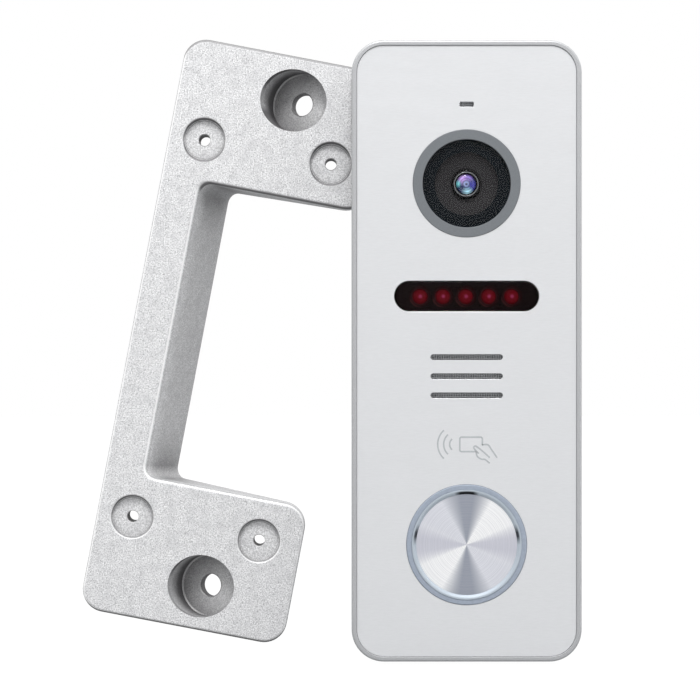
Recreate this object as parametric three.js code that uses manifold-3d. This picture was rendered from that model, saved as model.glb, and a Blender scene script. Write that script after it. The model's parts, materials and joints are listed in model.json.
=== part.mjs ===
// A slim outdoor video call panel: a metal housing with a brushed face plate that hangs on a wall plate,
// and beside it the loose die-cast wedge bracket that turns the panel towards a visitor at a door.
// Millimetres, +Z up, +X to the right seen from the front. The wall is the plane Y = 0; the face looks to -Y.
// A "depth" in this file is the distance out from the wall plane, so a depth d is the plane Y = -d.
import * as THREE from 'three';
import { mergeVertices } from 'three/addons/utils/BufferGeometryUtils.js';
import Module from 'manifold-3d';

const wasm = await Module();
wasm.setup();

// ---- Driving dimensions ----
const PANEL = { width: 50, height: 135, depth: 17, corner: 7 };
const RIM = 1.1;                       // width of the bare metal edge round the face plate
const WALL = 2;                        // housing wall
const GAP = 0.3;                       // clearance between pieces that nest or move past each other
const TOUCH = 0.1;                     // clearance between pieces that are clamped or glued together
const SHELL_BACK = 0.4;                // the housing's back edge stands this far off the wall
const FACE = { back: 15.4, front: 16.7, clearance: 0.2 };
const CHAMBER = { halfWidth: 21.8, halfHeight: 55.3, ledge: 6.4, corner: 2 };
const END_BAY = { from: 57, front: 13.5 };   // the hollows past the cover, where the hooks and the tab go
const PLATE_BAY = 1.6;                 // depth of the bay for the wall plate
const COVER = {
  halfWidth: 22.7, halfHeight: 56.5, back: 4.2, front: 5.7, corner: 2, cable: 4.3, screw: 1.5,
};
const GASKET = { side: 0.1, end: 0.3, corner: 1.8, inner: 0.1, innerCorner: 1.4, slack: 0.05 };
const POST = { x: 20.3, z: 53.6, radius: 2.4, pilot: 1.45, pilotFront: 13 };
const COVER_SCREW = {
  head: 2.2, bevel: 0.5, headHeight: 1.3, socket: 0.9, socketFloor: 0.7, socketDepth: 0.8,
  shank: 1.15, point: 0.9, pointLength: 0.4, tip: 12,
};

const MIC_Z = 53.6;
const CAMERA_Z = 36.4;
const IR_Z = 11.9;
const SPEAKER_Z = -5.5;
const READER_Z = -21.6;
const BUTTON_Z = -42.1;
const GROMMET_Z = 27;

// Turned pieces give radii, and depths out from the wall for back, front and what lies between.
const CAMERA_RING = {
  inner: 9.75, outer: 11.7, back: 14.9, side: 16.9, top: 11.4, front: 17.15, lip: 10.1,
  lipFront: 17, innerFront: 16.75,
};
const CAMERA_WINDOW = { radius: 9.55, back: 15.5, front: 16.65, bevel: 0.25 };
const BAFFLE = { neck: 3.5, outer: 9.5, mouth: 6.9, back: 12.4, floor: 14.1, front: 14.9 };
const BARREL = {
  radius: 3.1, back: 11.1, side: 14.9, crown: 2.9, crownInner: 2.45, front: 15.1, seat: 2.3,
  floor: 14.2,
};
const LENS = {
  radius: 2.2, back: 14.3, dome: [[1.9, 14.6], [1.3, 14.85], [0.7, 14.97]], front: 15,
};
const LENS_HOLDER = { half: 7, back: 10.05, front: 12.3, openingHalf: 4, openingFront: 11 };
const SENSOR = { halfWidth: 3.2, halfHeight: 2.6, back: 10.05, front: 10.8 };
const CAMERA_BOARD = { halfWidth: 12, halfHeight: 11, back: 8.95, front: 9.95 };

const IR = { width: 31.2, height: 6.35, back: 15.5, front: 16.6, pitch: 5, count: 5 };
const IR_SHROUD = { inset: 0.4, back: 13, front: 15.3 };
const LED = {
  radius: 1.5, flange: 1.9, back: 10.6, flangeFront: 11.4, side: 13.9,
  dome: [[1.25, 14.6], [0.7, 15]], front: 15.15,
};
const IR_BOARD = { halfWidth: 16, halfHeight: 3.8, back: 9.5, front: 10.5 };

const MIC_SLOT = { width: 3.1, height: 1.1 };
const MIC = { drop: 1.4, radius: 2, back: 13.1, front: 14.8 };
const MIC_BOOT = { inner: 2.1, outer: 2.7, back: 12.6, front: 15.2 };
const SLOTS = { width: 15.7, height: 1.2, pitch: 4.15, count: 3 };
const SPEAKER_FRAME = {
  neck: 5, waist: 9, rim: 10.2, lip: 8.9, throat: 8.4, back: 10.3, waistFront: 11.5, inner: 11.1,
  lipBack: 12, front: 13.8,
};
const SPEAKER_CONE = {
  cap: 2, coil: 3.2, back: 11.5, edge: 8.7, edgeBack: 13, front: 13.4, thickness: 0.5,
};
const SPEAKER_MAGNET = { radius: 6.2, back: 8.8, front: 10.2 };
const SPEAKER_GASKET = { inner: 8.9, outer: 10.2, back: 13.9, front: 14.85 };
const SPEAKER_MESH = { width: 17.6, height: 11.4, corner: 0.8, back: 14.95, front: 15.25 };

const BUTTON = {
  cap: 11.35, rim: 11.05, rimInner: 10.7, dish: 10.45, side: 16.7, back: 13.9, front: 17, stem: 2.2,
};
const LIGHT_RING = {
  inner: 11.75, outer: 13.1, back: 14.6, side: 16.75, top: 12.9, front: 16.95, lip: 12,
  lipFront: 16.85, innerFront: 16.6,
};
const BUTTON_BASE = {
  hole: 7, back: 12.1, bevel: 14, outer: 15.2, bevelFront: 12.6, front: 15.3, seat: 13.5,
  seatFloor: 14.4, cup: 11.8, cupFloor: 12.9,
};
const SWITCH = {
  half: 3, back: 8.7, floor: 9.3, front: 10.9, plunger: 1.6, plungerBack: 10, top: 11.4,
};

const READER_COIL = {
  width: 38, height: 11, corner: 3, bundle: 2.5, innerCorner: 1.5, back: 13.9, front: 14.9,
};
const MAIN_BOARD = { halfWidth: 17, low: -53, high: 21, back: 7.1, front: 8.6 };
const CABLE_HEADER = { halfWidth: 8, low: 16.6, high: 21, back: 8.65, front: 13 };
const GROMMET = {
  bore: 3.2, flange: 5.6, back: 2.6, flangeFront: 4.05, neck: 4.1, neckFront: 5.85, bead: 5.2,
  nose: 4.8, front: 6.8,
};

// The lock screw is drawn backed off: `travel` further up, its head is seated and its tip is in the tab.
const LOCK = {
  depth: 6, shank: 1.5, head: 2.5, clear: 1.8, low: -67.4, headHeight: 1.2, travel: 1.7, boss: 3.4,
  socket: 1.1, socketDepth: 0.7, tipGap: 0.5,
};
const PLATE = {
  width: 42, height: 126, thickness: 1.2, corner: 4, root: 0.2, screw: 1.6, slotWidth: 9,
  slotHeight: 4.6, slotZ: [52, -50], openingCorner: 2, cable: { width: 18, height: 26 },
  lower: { width: 14, height: 22, z: -22 },
};
const TAB = { top: -61.4, bottom: -62.6, reach: 9, halfWidth: 7 };
const HOOK = { x: 12, halfWidth: 4, top: 64.1, bottom: 60.6, reach: 6 };
const HOUSING_LIP = { bottom: 63.2, back: 1.6, front: 3.6, halfWidth: 20, sunk: 0.5 };

// The wedge bracket. u runs across it and v up it, from the middle of its four plate screws.
const BRACKET = {
  left: -22.7, right: 24.3, halfHeight: 66, thick: 22, thin: 4, corner: 5.2, spine: 8.8,
  gapHalfHeight: 34, innerCorner: 2.6, edge: 0.9, wall: 2.4, skin: 3,
};
const BRACKET_SCREWS = {
  u: 14.6, v: 43.5, hole: 1.3, seat: 4.6, seatDepth: 1.3, mouth: 5, mouthDepth: 0.4, boss: 3.6,
  bossDepth: 7,
};
const BRACKET_WALL_HOLES = {
  u: 3.6, v: 56, hole: 2.55, seat: 7.05, seatDepth: 5.2, web: 2.5, boss: 9.3,
};
const RIB = { thickness: 1.6, armU: -9.5, spineV: [-17, 0, 17] };
// tilt in degrees, clockwise from the front
const BRACKET_PLACE = { x: -52.2, z: 2.4, y: GAP, tilt: 10.8 };

const FINE = 40;                       // facets of the large rounds
const PLAIN = 20;                      // facets of the middling rounds
const SMALL = 12;                      // facets of the small rounds
const FAR = 60;                        // past every edge of a piece that is being cut

// ---- Solids ----
function toSolid(geometry) {
  const bare = geometry.clone();
  bare.deleteAttribute('normal');
  bare.deleteAttribute('uv');
  const merged = mergeVertices(bare, 1e-4);
  const index = merged.index.array;
  const triangles = [];
  for (let i = 0; i < index.length; i += 3) {
    const [a, b, c] = [index[i], index[i + 1], index[i + 2]];
    if (a !== b && b !== c && c !== a) triangles.push(a, b, c);
  }
  return new wasm.Manifold(new wasm.Mesh({
    numProp: 3,
    vertProperties: new Float32Array(merged.attributes.position.array),
    triVerts: new Uint32Array(triangles),
  }));
}

function toGeometry(solid) {
  const mesh = solid.getMesh();
  const geometry = new THREE.BufferGeometry();
  geometry.setAttribute('position', new THREE.BufferAttribute(new Float32Array(mesh.vertProperties), 3));
  geometry.setIndex(new THREE.BufferAttribute(new Uint32Array(mesh.triVerts), 1));
  return geometry;
}

function cut(body, ...tools) {
  return tools.reduce((left, tool) => left.subtract(tool), body);
}

function join(body, ...others) {
  return others.reduce((whole, other) => whole.add(other), body);
}

// ---- Outlines in the plane of the wall ----
function arcPoints(x, z, radius, from, to, steps) {
  const points = [];
  for (let i = 0; i <= steps; i += 1) {
    const angle = from + (to - from) * (i / steps);
    points.push(new THREE.Vector2(x + radius * Math.cos(angle), z + radius * Math.sin(angle)));
  }
  return points;
}

function circle(radius, steps, x = 0, z = 0) {
  return arcPoints(x, z, radius, 0, 2 * Math.PI, steps).slice(0, -1);
}

function rounded(width, height, radius, x = 0, z = 0, steps = 6) {
  const turn = Math.PI / 2;
  const right = width / 2 - radius;
  const top = height / 2 - radius;
  const corners = [[right, top], [-right, top], [-right, -top], [right, -top]];
  return corners.flatMap(([cx, cz], i) =>
    arcPoints(x + cx, z + cz, radius, i * turn, (i + 1) * turn, steps));
}

function slot(width, height, x, z, steps) {
  const radius = height / 2;
  const reach = width / 2 - radius;
  return [
    ...arcPoints(x + reach, z, radius, -Math.PI / 2, Math.PI / 2, steps),
    ...arcPoints(x - reach, z, radius, Math.PI / 2, 1.5 * Math.PI, steps),
  ];
}

// ---- Solids between two depths, or turned round an axis ----
function slab(outline, back, front, holes = []) {
  const shape = new THREE.Shape(outline);
  shape.holes = holes.map((points) => new THREE.Path(points));
  const geometry = new THREE.ExtrudeGeometry(shape, { depth: front - back, bevelEnabled: false });
  geometry.rotateX(Math.PI / 2);
  geometry.translate(0, -back, 0);
  return toSolid(geometry);
}

function block(x0, x1, z0, z1, back, front) {
  const geometry = new THREE.BoxGeometry(x1 - x0, front - back, z1 - z0);
  geometry.translate((x0 + x1) / 2, -(back + front) / 2, (z0 + z1) / 2);
  return toSolid(geometry);
}

// profile: [radius, depth] pairs, from the axis out and back to it, or a loop that closes on itself
function turnedGeometry(profile, steps) {
  const geometry = new THREE.LatheGeometry(profile.map(([r, d]) => new THREE.Vector2(r, d)), steps);
  return geometry.rotateX(Math.PI);
}

function turned(profile, steps, x = 0, z = 0) {
  return toSolid(turnedGeometry(profile, steps).translate(x, 0, z));
}

function ring(inner, outer, back, front, steps, x = 0, z = 0) {
  return slab(circle(outer, steps, x, z), back, front, [circle(inner, steps, x, z)]);
}

function disc(radius, back, front, steps, x = 0, z = 0) {
  return slab(circle(radius, steps, x, z), back, front);
}

// a round bar standing up, at a depth out from the wall
function upright(radius, bottom, top, depth, steps) {
  const geometry = new THREE.CylinderGeometry(radius, radius, top - bottom, steps);
  geometry.rotateX(Math.PI / 2);
  geometry.translate(0, -depth, (top + bottom) / 2);
  return toSolid(geometry);
}

function material(color, roughness, metalness) {
  return new THREE.MeshStandardMaterial({ color, roughness, metalness });
}

const group = new THREE.Group();

function part(name, solid, finish) {
  const mesh = new THREE.Mesh(toGeometry(solid), finish);
  mesh.name = name;
  group.add(mesh);
  return mesh;
}

const corners = [[1, 1], [-1, 1], [-1, -1], [1, -1]];

// ---- Case ----
function bayOutline() {
  return rounded(PANEL.width - 2 * WALL, PANEL.height - 2 * WALL, PANEL.corner - WALL, 0, 0, 8);
}

function housing() {
  const inside = PANEL.width / 2 - WALL;
  const end = PANEL.height / 2 - WALL;
  const shell = slab(rounded(PANEL.width, PANEL.height, PANEL.corner, 0, 0, 10), SHELL_BACK, PANEL.depth);
  const mouth = rounded(PANEL.width - 2 * RIM, PANEL.height - 2 * RIM, PANEL.corner - RIM, 0, 0, 10);
  const faceRecess = slab(mouth, FACE.back - TOUCH, PANEL.depth + 1);
  const chamber = slab(rounded(2 * CHAMBER.halfWidth, 2 * CHAMBER.halfHeight, CHAMBER.corner),
    CHAMBER.ledge, PANEL.depth);
  const coverRecess = slab(
    rounded(2 * (COVER.halfWidth + TOUCH), 2 * (COVER.halfHeight + TOUCH), COVER.corner),
    -1, CHAMBER.ledge);
  const endBay = slab(bayOutline(), -1, END_BAY.front)
    .subtract(block(-inside - 1, inside + 1, -END_BAY.from, END_BAY.from, -2, END_BAY.front + 1));
  const plateBay = slab(bayOutline(), -1, PLATE_BAY);
  const lip = block(-HOUSING_LIP.halfWidth, HOUSING_LIP.halfWidth, HOUSING_LIP.bottom,
    end + HOUSING_LIP.sunk,
    HOUSING_LIP.back, HOUSING_LIP.front);
  const lockBoss = upright(LOCK.boss, -end - HOUSING_LIP.sunk, TAB.bottom - 2 * GAP, LOCK.depth, PLAIN);
  const lockSeat = LOCK.low + LOCK.headHeight + LOCK.travel + TOUCH;
  const lockBore = join(
    upright(LOCK.clear, -FAR - 20, TAB.bottom, LOCK.depth, PLAIN),
    upright(LOCK.head + GAP, -FAR - 20, lockSeat, LOCK.depth, PLAIN),
  );
  const posts = corners.map(([sx, sz]) => disc(POST.radius, CHAMBER.ledge + GAP, FACE.back - TOUCH, PLAIN,
    sx * POST.x, sz * POST.z));
  const pilots = corners.map(([sx, sz]) => disc(POST.pilot, 0, POST.pilotFront, SMALL,
    sx * POST.x, sz * POST.z));
  const hollow = cut(shell, faceRecess, chamber, coverRecess, endBay, plateBay);
  return cut(join(hollow, lip, lockBoss, ...posts), lockBore, ...pilots);
}

function speakerSlots() {
  const middle = (SLOTS.count - 1) / 2;
  return Array.from({ length: SLOTS.count }, (_, i) =>
    slot(SLOTS.width, SLOTS.height, 0, SPEAKER_Z + (i - middle) * SLOTS.pitch, 6));
}

function facePlate() {
  const inset = 2 * (RIM + GAP);
  const spare = FACE.clearance;
  const holes = [
    circle(CAMERA_RING.outer + spare, FINE, 0, CAMERA_Z),
    circle(LIGHT_RING.outer + spare, FINE, 0, BUTTON_Z),
    slot(IR.width + 2 * spare, IR.height + 2 * spare, 0, IR_Z, 10),
    slot(MIC_SLOT.width, MIC_SLOT.height, 0, MIC_Z, 5),
    ...speakerSlots(),
  ];
  const outline = rounded(PANEL.width - inset, PANEL.height - inset, PANEL.corner - inset / 2, 0, 0, 10);
  return slab(outline, FACE.back, FACE.front, holes);
}

function rearCover() {
  const holes = [
    circle(COVER.cable, PLAIN, 0, GROMMET_Z),
    ...corners.map(([sx, sz]) => circle(COVER.screw, SMALL, sx * POST.x, sz * POST.z)),
  ];
  const outline = rounded(2 * COVER.halfWidth, 2 * COVER.halfHeight, COVER.corner);
  return slab(outline, COVER.back, COVER.front, holes);
}

function rearGasket() {
  const g = GASKET;
  const outer = rounded(2 * (COVER.halfWidth - g.side), 2 * (COVER.halfHeight - g.end), g.corner);
  const inner = rounded(2 * (CHAMBER.halfWidth + g.inner), 2 * (CHAMBER.halfHeight + g.inner),
    g.innerCorner);
  return slab(outer, COVER.front + g.slack, CHAMBER.ledge - g.slack, [inner]);
}

function coverScrew(x, z) {
  const s = COVER_SCREW;
  const under = COVER.back - TOUCH;
  const top = under - s.headHeight;
  const profile = [[0, top + s.socketDepth], [s.socketFloor, top + s.socketDepth], [s.socket, top],
    [s.head - s.bevel, top], [s.head, top + s.bevel], [s.head, under], [s.shank, under],
    [s.shank, s.tip - s.pointLength], [s.point, s.tip], [0, s.tip]];
  return turned(profile, SMALL, x, z);
}

function cableGrommet() {
  const g = GROMMET;
  const bead = g.neckFront - TOUCH;
  return turned([[g.bore, g.back], [g.flange, g.back], [g.flange, g.flangeFront],
    [g.neck, g.flangeFront + TOUCH],
    [g.neck, bead], [g.bead, g.neckFront], [g.nose, g.front], [g.bore, g.front], [g.bore, g.back]],
  PLAIN, 0, GROMMET_Z);
}

// ---- Wall plate, with the two hooks that carry the panel and the tab that its lock screw enters ----
function mountingPlate() {
  const { thickness, root, cable, lower } = PLATE;
  const holes = [
    rounded(cable.width, cable.height, PLATE.openingCorner, 0, GROMMET_Z),
    ...corners.map(([sx, sz]) =>
      circle(PLATE.screw, SMALL, sx * BRACKET_SCREWS.u, sz * BRACKET_SCREWS.v)),
    ...PLATE.slotZ.map((z) => slot(PLATE.slotWidth, PLATE.slotHeight, 0, z, 8)),
    rounded(lower.width, lower.height, PLATE.openingCorner, 0, lower.z),
  ];
  const sheet = slab(rounded(PLATE.width, PLATE.height, PLATE.corner), 0, thickness, holes);
  const hooks = [-1, 1].flatMap((side) => {
    const left = side * HOOK.x - HOOK.halfWidth;
    const right = side * HOOK.x + HOOK.halfWidth;
    const arm = block(left, right, HOOK.bottom, HOOK.bottom + thickness, root, HOOK.reach);
    const tip = block(left, right, HOOK.bottom, HOOK.top, HOOK.reach - thickness, HOOK.reach);
    return [arm, tip];
  });
  const tab = block(-TAB.halfWidth, TAB.halfWidth, TAB.bottom, TAB.top, root, TAB.reach);
  const tabHole = upright(LOCK.clear, TAB.bottom - 1, TAB.top + 1, LOCK.depth, PLAIN);
  return cut(join(sheet, ...hooks, tab), tabHole);
}

function lockScrew() {
  const head = upright(LOCK.head, LOCK.low, LOCK.low + LOCK.headHeight, LOCK.depth, PLAIN);
  const shank = upright(LOCK.shank, LOCK.low + LOCK.headHeight / 2, TAB.bottom - LOCK.tipGap,
    LOCK.depth, PLAIN);
  const hexSocket = upright(LOCK.socket, LOCK.low - 1, LOCK.low + LOCK.socketDepth, LOCK.depth, 6);
  return cut(join(head, shank), hexSocket);
}

// ---- Camera ----
// A ring with a rounded-off front: straight outer side, top, and a lip that falls to its inner side.
function facedRing(r, z) {
  return turned([[r.inner, r.back], [r.outer, r.back], [r.outer, r.side], [r.top, r.front],
    [r.lip, r.lipFront],
    [r.inner, r.innerFront], [r.inner, r.back]], FINE, 0, z);
}

function cameraWindow() {
  const { radius, back, front, bevel } = CAMERA_WINDOW;
  return turned([[0, back], [radius, back], [radius, front - bevel], [radius - bevel, front], [0, front]],
    FINE, 0, CAMERA_Z);
}

function lensBaffle() {
  const { neck, outer, mouth, back, floor, front } = BAFFLE;
  return turned([[neck, back], [outer, back], [outer, front], [mouth, front], [neck, floor],
    [neck, back]],
    FINE, 0, CAMERA_Z);
}

function lensBarrel() {
  const b = BARREL;
  return turned([[0, b.back], [b.radius, b.back], [b.radius, b.side], [b.crown, b.front],
    [b.crownInner, b.front],
    [b.seat, b.floor], [0, b.floor]], PLAIN, 0, CAMERA_Z);
}

function lensGlass() {
  return turned([[0, LENS.back], [LENS.radius, LENS.back], ...LENS.dome, [0, LENS.front]], PLAIN, 0,
    CAMERA_Z);
}

function lensHolder() {
  const { half, back, front, openingHalf, openingFront } = LENS_HOLDER;
  const body = block(-half, half, CAMERA_Z - half, CAMERA_Z + half, back, front);
  const bore = disc(BARREL.radius + TOUCH, back - 1, front + 1, PLAIN, 0, CAMERA_Z);
  const opening = block(-openingHalf, openingHalf, CAMERA_Z - openingHalf, CAMERA_Z + openingHalf,
    back - 1, openingFront);
  return cut(body, bore, opening);
}

// ---- Infra-red lamp bar ----
function ledPlaces() {
  const middle = (IR.count - 1) / 2;
  return Array.from({ length: IR.count }, (_, i) => (i - middle) * IR.pitch);
}

function irWindow() {
  return slab(slot(IR.width, IR.height, 0, IR_Z, 12), IR.back, IR.front);
}

function irShroud() {
  const { inset, back, front } = IR_SHROUD;
  const holes = ledPlaces().map((x) => circle(LED.radius + GAP, SMALL, x, IR_Z));
  return slab(slot(IR.width - inset, IR.height - inset, 0, IR_Z, 8), back, front, holes);
}

function irLed(x) {
  return turned([[0, LED.back], [LED.flange, LED.back], [LED.flange, LED.flangeFront],
    [LED.radius, LED.flangeFront],
    [LED.radius, LED.side], ...LED.dome, [0, LED.front]], SMALL, x, IR_Z);
}

// ---- Sound ----
function microphone() {
  return disc(MIC.radius, MIC.back, MIC.front, PLAIN, 0, MIC_Z - MIC.drop);
}

function microphoneBoot() {
  return ring(MIC_BOOT.inner, MIC_BOOT.outer, MIC_BOOT.back, MIC_BOOT.front, PLAIN, 0, MIC_Z - MIC.drop);
}

function speakerFrame() {
  const f = SPEAKER_FRAME;
  return turned([[f.neck, f.back], [f.waist, f.back], [f.rim, f.waistFront], [f.rim, f.front],
    [f.lip, f.front],
    [f.lip, f.lipBack], [f.throat, f.inner], [f.neck, f.inner], [f.neck, f.back]], FINE, 0, SPEAKER_Z);
}

function speakerCone() {
  const { cap, coil, back, edge, edgeBack, front, thickness } = SPEAKER_CONE;
  return turned([[0, back + thickness + TOUCH], [cap, back + thickness - TOUCH], [coil, back],
    [edge - TOUCH, edgeBack], [edge, front], [edge - 2 * TOUCH, front], [coil, back + thickness],
    [cap, back + 2 * thickness], [0, back + 2 * thickness + 2 * TOUCH]], PLAIN, 0, SPEAKER_Z);
}

function speakerMesh() {
  const { width, height, corner, back, front } = SPEAKER_MESH;
  return slab(rounded(width, height, corner, 0, SPEAKER_Z, 3), back, front);
}

// ---- Call button ----
function callButton() {
  const { back, front, side } = BUTTON;
  const cap = [[0, back], [BUTTON.cap, back], [BUTTON.cap, side], [BUTTON.rim, front],
    [BUTTON.rimInner, front - TOUCH / 2], [BUTTON.dish, side], [0, side]];
  const disk = turned(cap, FINE, 0, BUTTON_Z);
  return join(disk, disc(BUTTON.stem, SWITCH.top + 0.5, back + 0.5, SMALL, 0, BUTTON_Z));
}

// the round holder behind the face plate, with flats above and below to fit the chamber
function buttonBase() {
  const b = BUTTON_BASE;
  const holder = turned([[b.hole, b.back], [b.bevel, b.back], [b.outer, b.bevelFront], [b.outer, b.front],
    [b.seat, b.front], [b.seat, b.seatFloor], [b.cup, b.seatFloor], [b.cup, b.cupFloor],
    [b.hole, b.cupFloor],
    [b.hole, b.back]], FINE, 0, BUTTON_Z);
  const flat = CHAMBER.halfHeight + BUTTON_Z - TOUCH;
  return holder.intersect(block(-FAR, FAR, BUTTON_Z - flat, BUTTON_Z + flat, 0, FAR));
}

function switchBody() {
  const { half, back, floor, front, plunger } = SWITCH;
  const body = block(-half, half, BUTTON_Z - half, BUTTON_Z + half, back, front);
  return cut(body, disc(plunger + GAP, floor, front + 1, SMALL, 0, BUTTON_Z));
}

// ends just behind the button's stem, and sinks into the switch as the button comes in
function switchPlunger() {
  return disc(SWITCH.plunger, SWITCH.plungerBack, SWITCH.top, SMALL, 0, BUTTON_Z);
}

// ---- Boards and coil ----
function readerCoil() {
  const { width, height, corner, bundle, innerCorner, back, front } = READER_COIL;
  const inner = rounded(width - 2 * bundle, height - 2 * bundle, innerCorner, 0, READER_Z, 4);
  return slab(rounded(width, height, corner, 0, READER_Z, 4), back, front, [inner]);
}

// a board or chip centred on the panel's middle line, at a height
function plateAt(z, { halfWidth, halfHeight, back, front }) {
  return block(-halfWidth, halfWidth, z - halfHeight, z + halfHeight, back, front);
}

function span({ halfWidth, low, high, back, front }) {
  return block(-halfWidth, halfWidth, low, high, back, front);
}

// ---- Wedge bracket: a flat front seat and a slanted back that goes on the wall. Its outer sides stand square
// ---- to the seat, and the inner side of its spine stands square to the slanted back.
const wedgeSlope = (BRACKET.thick - BRACKET.thin) / (BRACKET.right - BRACKET.left);
const wedgeAngle = Math.atan(wedgeSlope);

function wedgeDepth(u) {
  return BRACKET.thin + (BRACKET.right - u) * wedgeSlope;
}

// a prism behind the seat, with rounded ends if it has an edge
function prismBehind(outline, front, back, edge = 0) {
  const geometry = new THREE.ExtrudeGeometry(new THREE.Shape(outline), {
    depth: back - front - 2 * edge, bevelEnabled: edge > 0, bevelThickness: edge, bevelSize: edge,
    bevelOffset: -edge, bevelSegments: 2,
  });
  return geometry.rotateX(Math.PI / 2).translate(0, back - edge, 0);
}

// Leans the inner side of the spine over as it goes back, so that it stands square to the slanted back.
function leanSpine(geometry) {
  const points = geometry.attributes.position;
  const reach = BRACKET.gapHalfHeight + BRACKET.wall + BRACKET.edge;
  for (let i = 0; i < points.count; i += 1) {
    const inNotch = points.getX(i) < 0 && Math.abs(points.getZ(i)) < reach;
    if (inNotch) points.setX(i, points.getX(i) + wedgeSlope * points.getY(i));
  }
  return geometry;
}

function bracketOutline(inset, steps) {
  const turn = Math.PI / 2;
  const left = BRACKET.left + inset;
  const right = BRACKET.right - inset;
  const top = BRACKET.halfHeight - inset;
  const inner = BRACKET.left + BRACKET.spine - inset;
  const gap = BRACKET.gapHalfHeight + inset;
  const r = BRACKET.corner - inset;
  const q = BRACKET.innerCorner + inset;
  return [
    ...arcPoints(right - r, top - r, r, 0, turn, steps),
    ...arcPoints(left + r, top - r, r, turn, 2 * turn, steps),
    ...arcPoints(left + r, -top + r, r, 2 * turn, 3 * turn, steps),
    ...arcPoints(right - r, -top + r, r, 3 * turn, 4 * turn, steps),
    ...arcPoints(right - r, -gap - r, r, 0, turn, steps),
    ...arcPoints(inner + q, -gap + q, q, 3 * turn, 2 * turn, steps),
    ...arcPoints(inner + q, gap - q, q, 2 * turn, turn, steps),
    ...arcPoints(right - r, gap + r, r, 3 * turn, 4 * turn, steps),
  ];
}

// everything between a plane at this distance behind the seat and the slanted back
function wedgeSpace(front) {
  const tip = BRACKET.right + (BRACKET.thin - front) / wedgeSlope;
  const section = [new THREE.Vector2(-FAR, front), new THREE.Vector2(tip, front),
    new THREE.Vector2(-FAR, wedgeDepth(-FAR))];
  const geometry = new THREE.ExtrudeGeometry(new THREE.Shape(section),
    { depth: 4 * FAR, bevelEnabled: false });
  return toSolid(geometry.translate(0, 0, -2 * FAR));
}

// a shape turned about a wall screw's axis, which is square to the slanted back
function alongWallScrew(profile, v) {
  const geometry = turnedGeometry(profile, FINE).rotateZ(-wedgeAngle);
  return toSolid(geometry.translate(BRACKET_WALL_HOLES.u, 0, v));
}

function wallScrewHole(v) {
  const h = BRACKET_WALL_HOLES;
  return alongWallScrew([[0, -FAR], [h.hole, -FAR], [h.hole, -h.seatDepth], [h.seat, -h.seatDepth],
    [h.seat, FAR / 4], [0, FAR / 4]], v);
}

function wallScrewBoss(v) {
  const h = BRACKET_WALL_HOLES;
  const back = h.seatDepth + h.web;
  return alongWallScrew([[0, -back], [h.boss, -back], [h.boss, FAR / 4], [0, FAR / 4]], v);
}

// a hole for one of the wall plate's screws, square to the seat, in a shallow round pit
function plateScrewHole(u, v) {
  const s = BRACKET_SCREWS;
  return turned([[0, -FAR], [s.hole, -FAR], [s.hole, -s.seatDepth], [s.seat, -s.seatDepth],
    [s.seat, -s.mouthDepth], [s.mouth, GAP], [0, GAP]], PLAIN, u, v);
}

function plateScrewBoss(u, v) {
  return disc(BRACKET_SCREWS.boss, -BRACKET_SCREWS.bossDepth, 0, PLAIN, u, v);
}

function rib(u0, u1, v0, v1) {
  return block(u0, u1, v0, v1, -FAR, 0);
}

function wedgeBracket() {
  const { left, right, spine, halfHeight, gapHalfHeight, wall, skin, edge } = BRACKET;
  const half = RIB.thickness / 2;
  const armMiddle = (halfHeight + gapHalfHeight) / 2;
  const outside = leanSpine(prismBehind(bracketOutline(0, 5), 0, FAR, edge));
  const solid = toSolid(outside).intersect(wedgeSpace(-1));
  const pocket = toSolid(leanSpine(prismBehind(bracketOutline(wall, 2), skin, FAR)));
  const screws = corners.map(([su, sv]) => [su * BRACKET_SCREWS.u, sv * BRACKET_SCREWS.v]);
  const wallScrews = [BRACKET_WALL_HOLES.v, -BRACKET_WALL_HOLES.v];
  const armRibs = [1, -1].flatMap((side) => [
    rib(left, right, side * armMiddle - half, side * armMiddle + half),
    rib(RIB.armU - half, RIB.armU + half, side * armMiddle - spine * 2, side * armMiddle + spine * 2),
  ]);
  const spineRibs = RIB.spineV.map((v) => rib(left, left + 2 * spine, v - half, v + half));
  const kept = [...screws.map(([u, v]) => plateScrewBoss(u, v)), ...wallScrews.map(wallScrewBoss),
    ...armRibs,
    ...spineRibs];
  const holes = [...screws.map(([u, v]) => plateScrewHole(u, v)), ...wallScrews.map(wallScrewHole)];
  return cut(solid, cut(pocket, ...kept), ...holes);
}

// ---- The assembly ----
const silver = () => material('#c9ccd0', 0.42, 0.9);
const brushed = () => material('#dcdee0', 0.38, 0.7);
const castMetal = () => material('#cfcfcf', 0.55, 0.7);
const steel = () => material('#b9bcc0', 0.3, 1);
const blackPlastic = () => material('#1d1e20', 0.5, 0);
const darkGlass = () => material('#141215', 0.08, 0);
const boardGreen = () => material('#1f5136', 0.6, 0);
const rubber = () => material('#26272a', 0.85, 0);

part('housing', housing(), silver());
part('face_plate', facePlate(), brushed());
part('rear_cover', rearCover(), material('#3a3c40', 0.6, 0));
part('rear_gasket', rearGasket(), rubber());
corners.forEach(([sx, sz], i) =>
  part(`cover_screw_${i + 1}`, coverScrew(sx * POST.x, sz * POST.z), steel()));
part('mounting_plate', mountingPlate(), material('#b4b8bc', 0.35, 0.9));
part('lock_screw', lockScrew(), steel());
part('cable_grommet', cableGrommet(), rubber());

part('camera_ring', facedRing(CAMERA_RING, CAMERA_Z), material('#7d8084', 0.35, 0.8));
part('camera_window', cameraWindow(), darkGlass());
part('lens_baffle', lensBaffle(), material('#37393b', 0.6, 0));
part('lens_barrel', lensBarrel(), blackPlastic());
part('lens_glass', lensGlass(), material('#2a2f5c', 0.03, 0));
part('lens_holder', lensHolder(), blackPlastic());
part('image_sensor', plateAt(CAMERA_Z, SENSOR), material('#23262b', 0.3, 0));
part('camera_board', plateAt(CAMERA_Z, CAMERA_BOARD), boardGreen());

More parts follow.
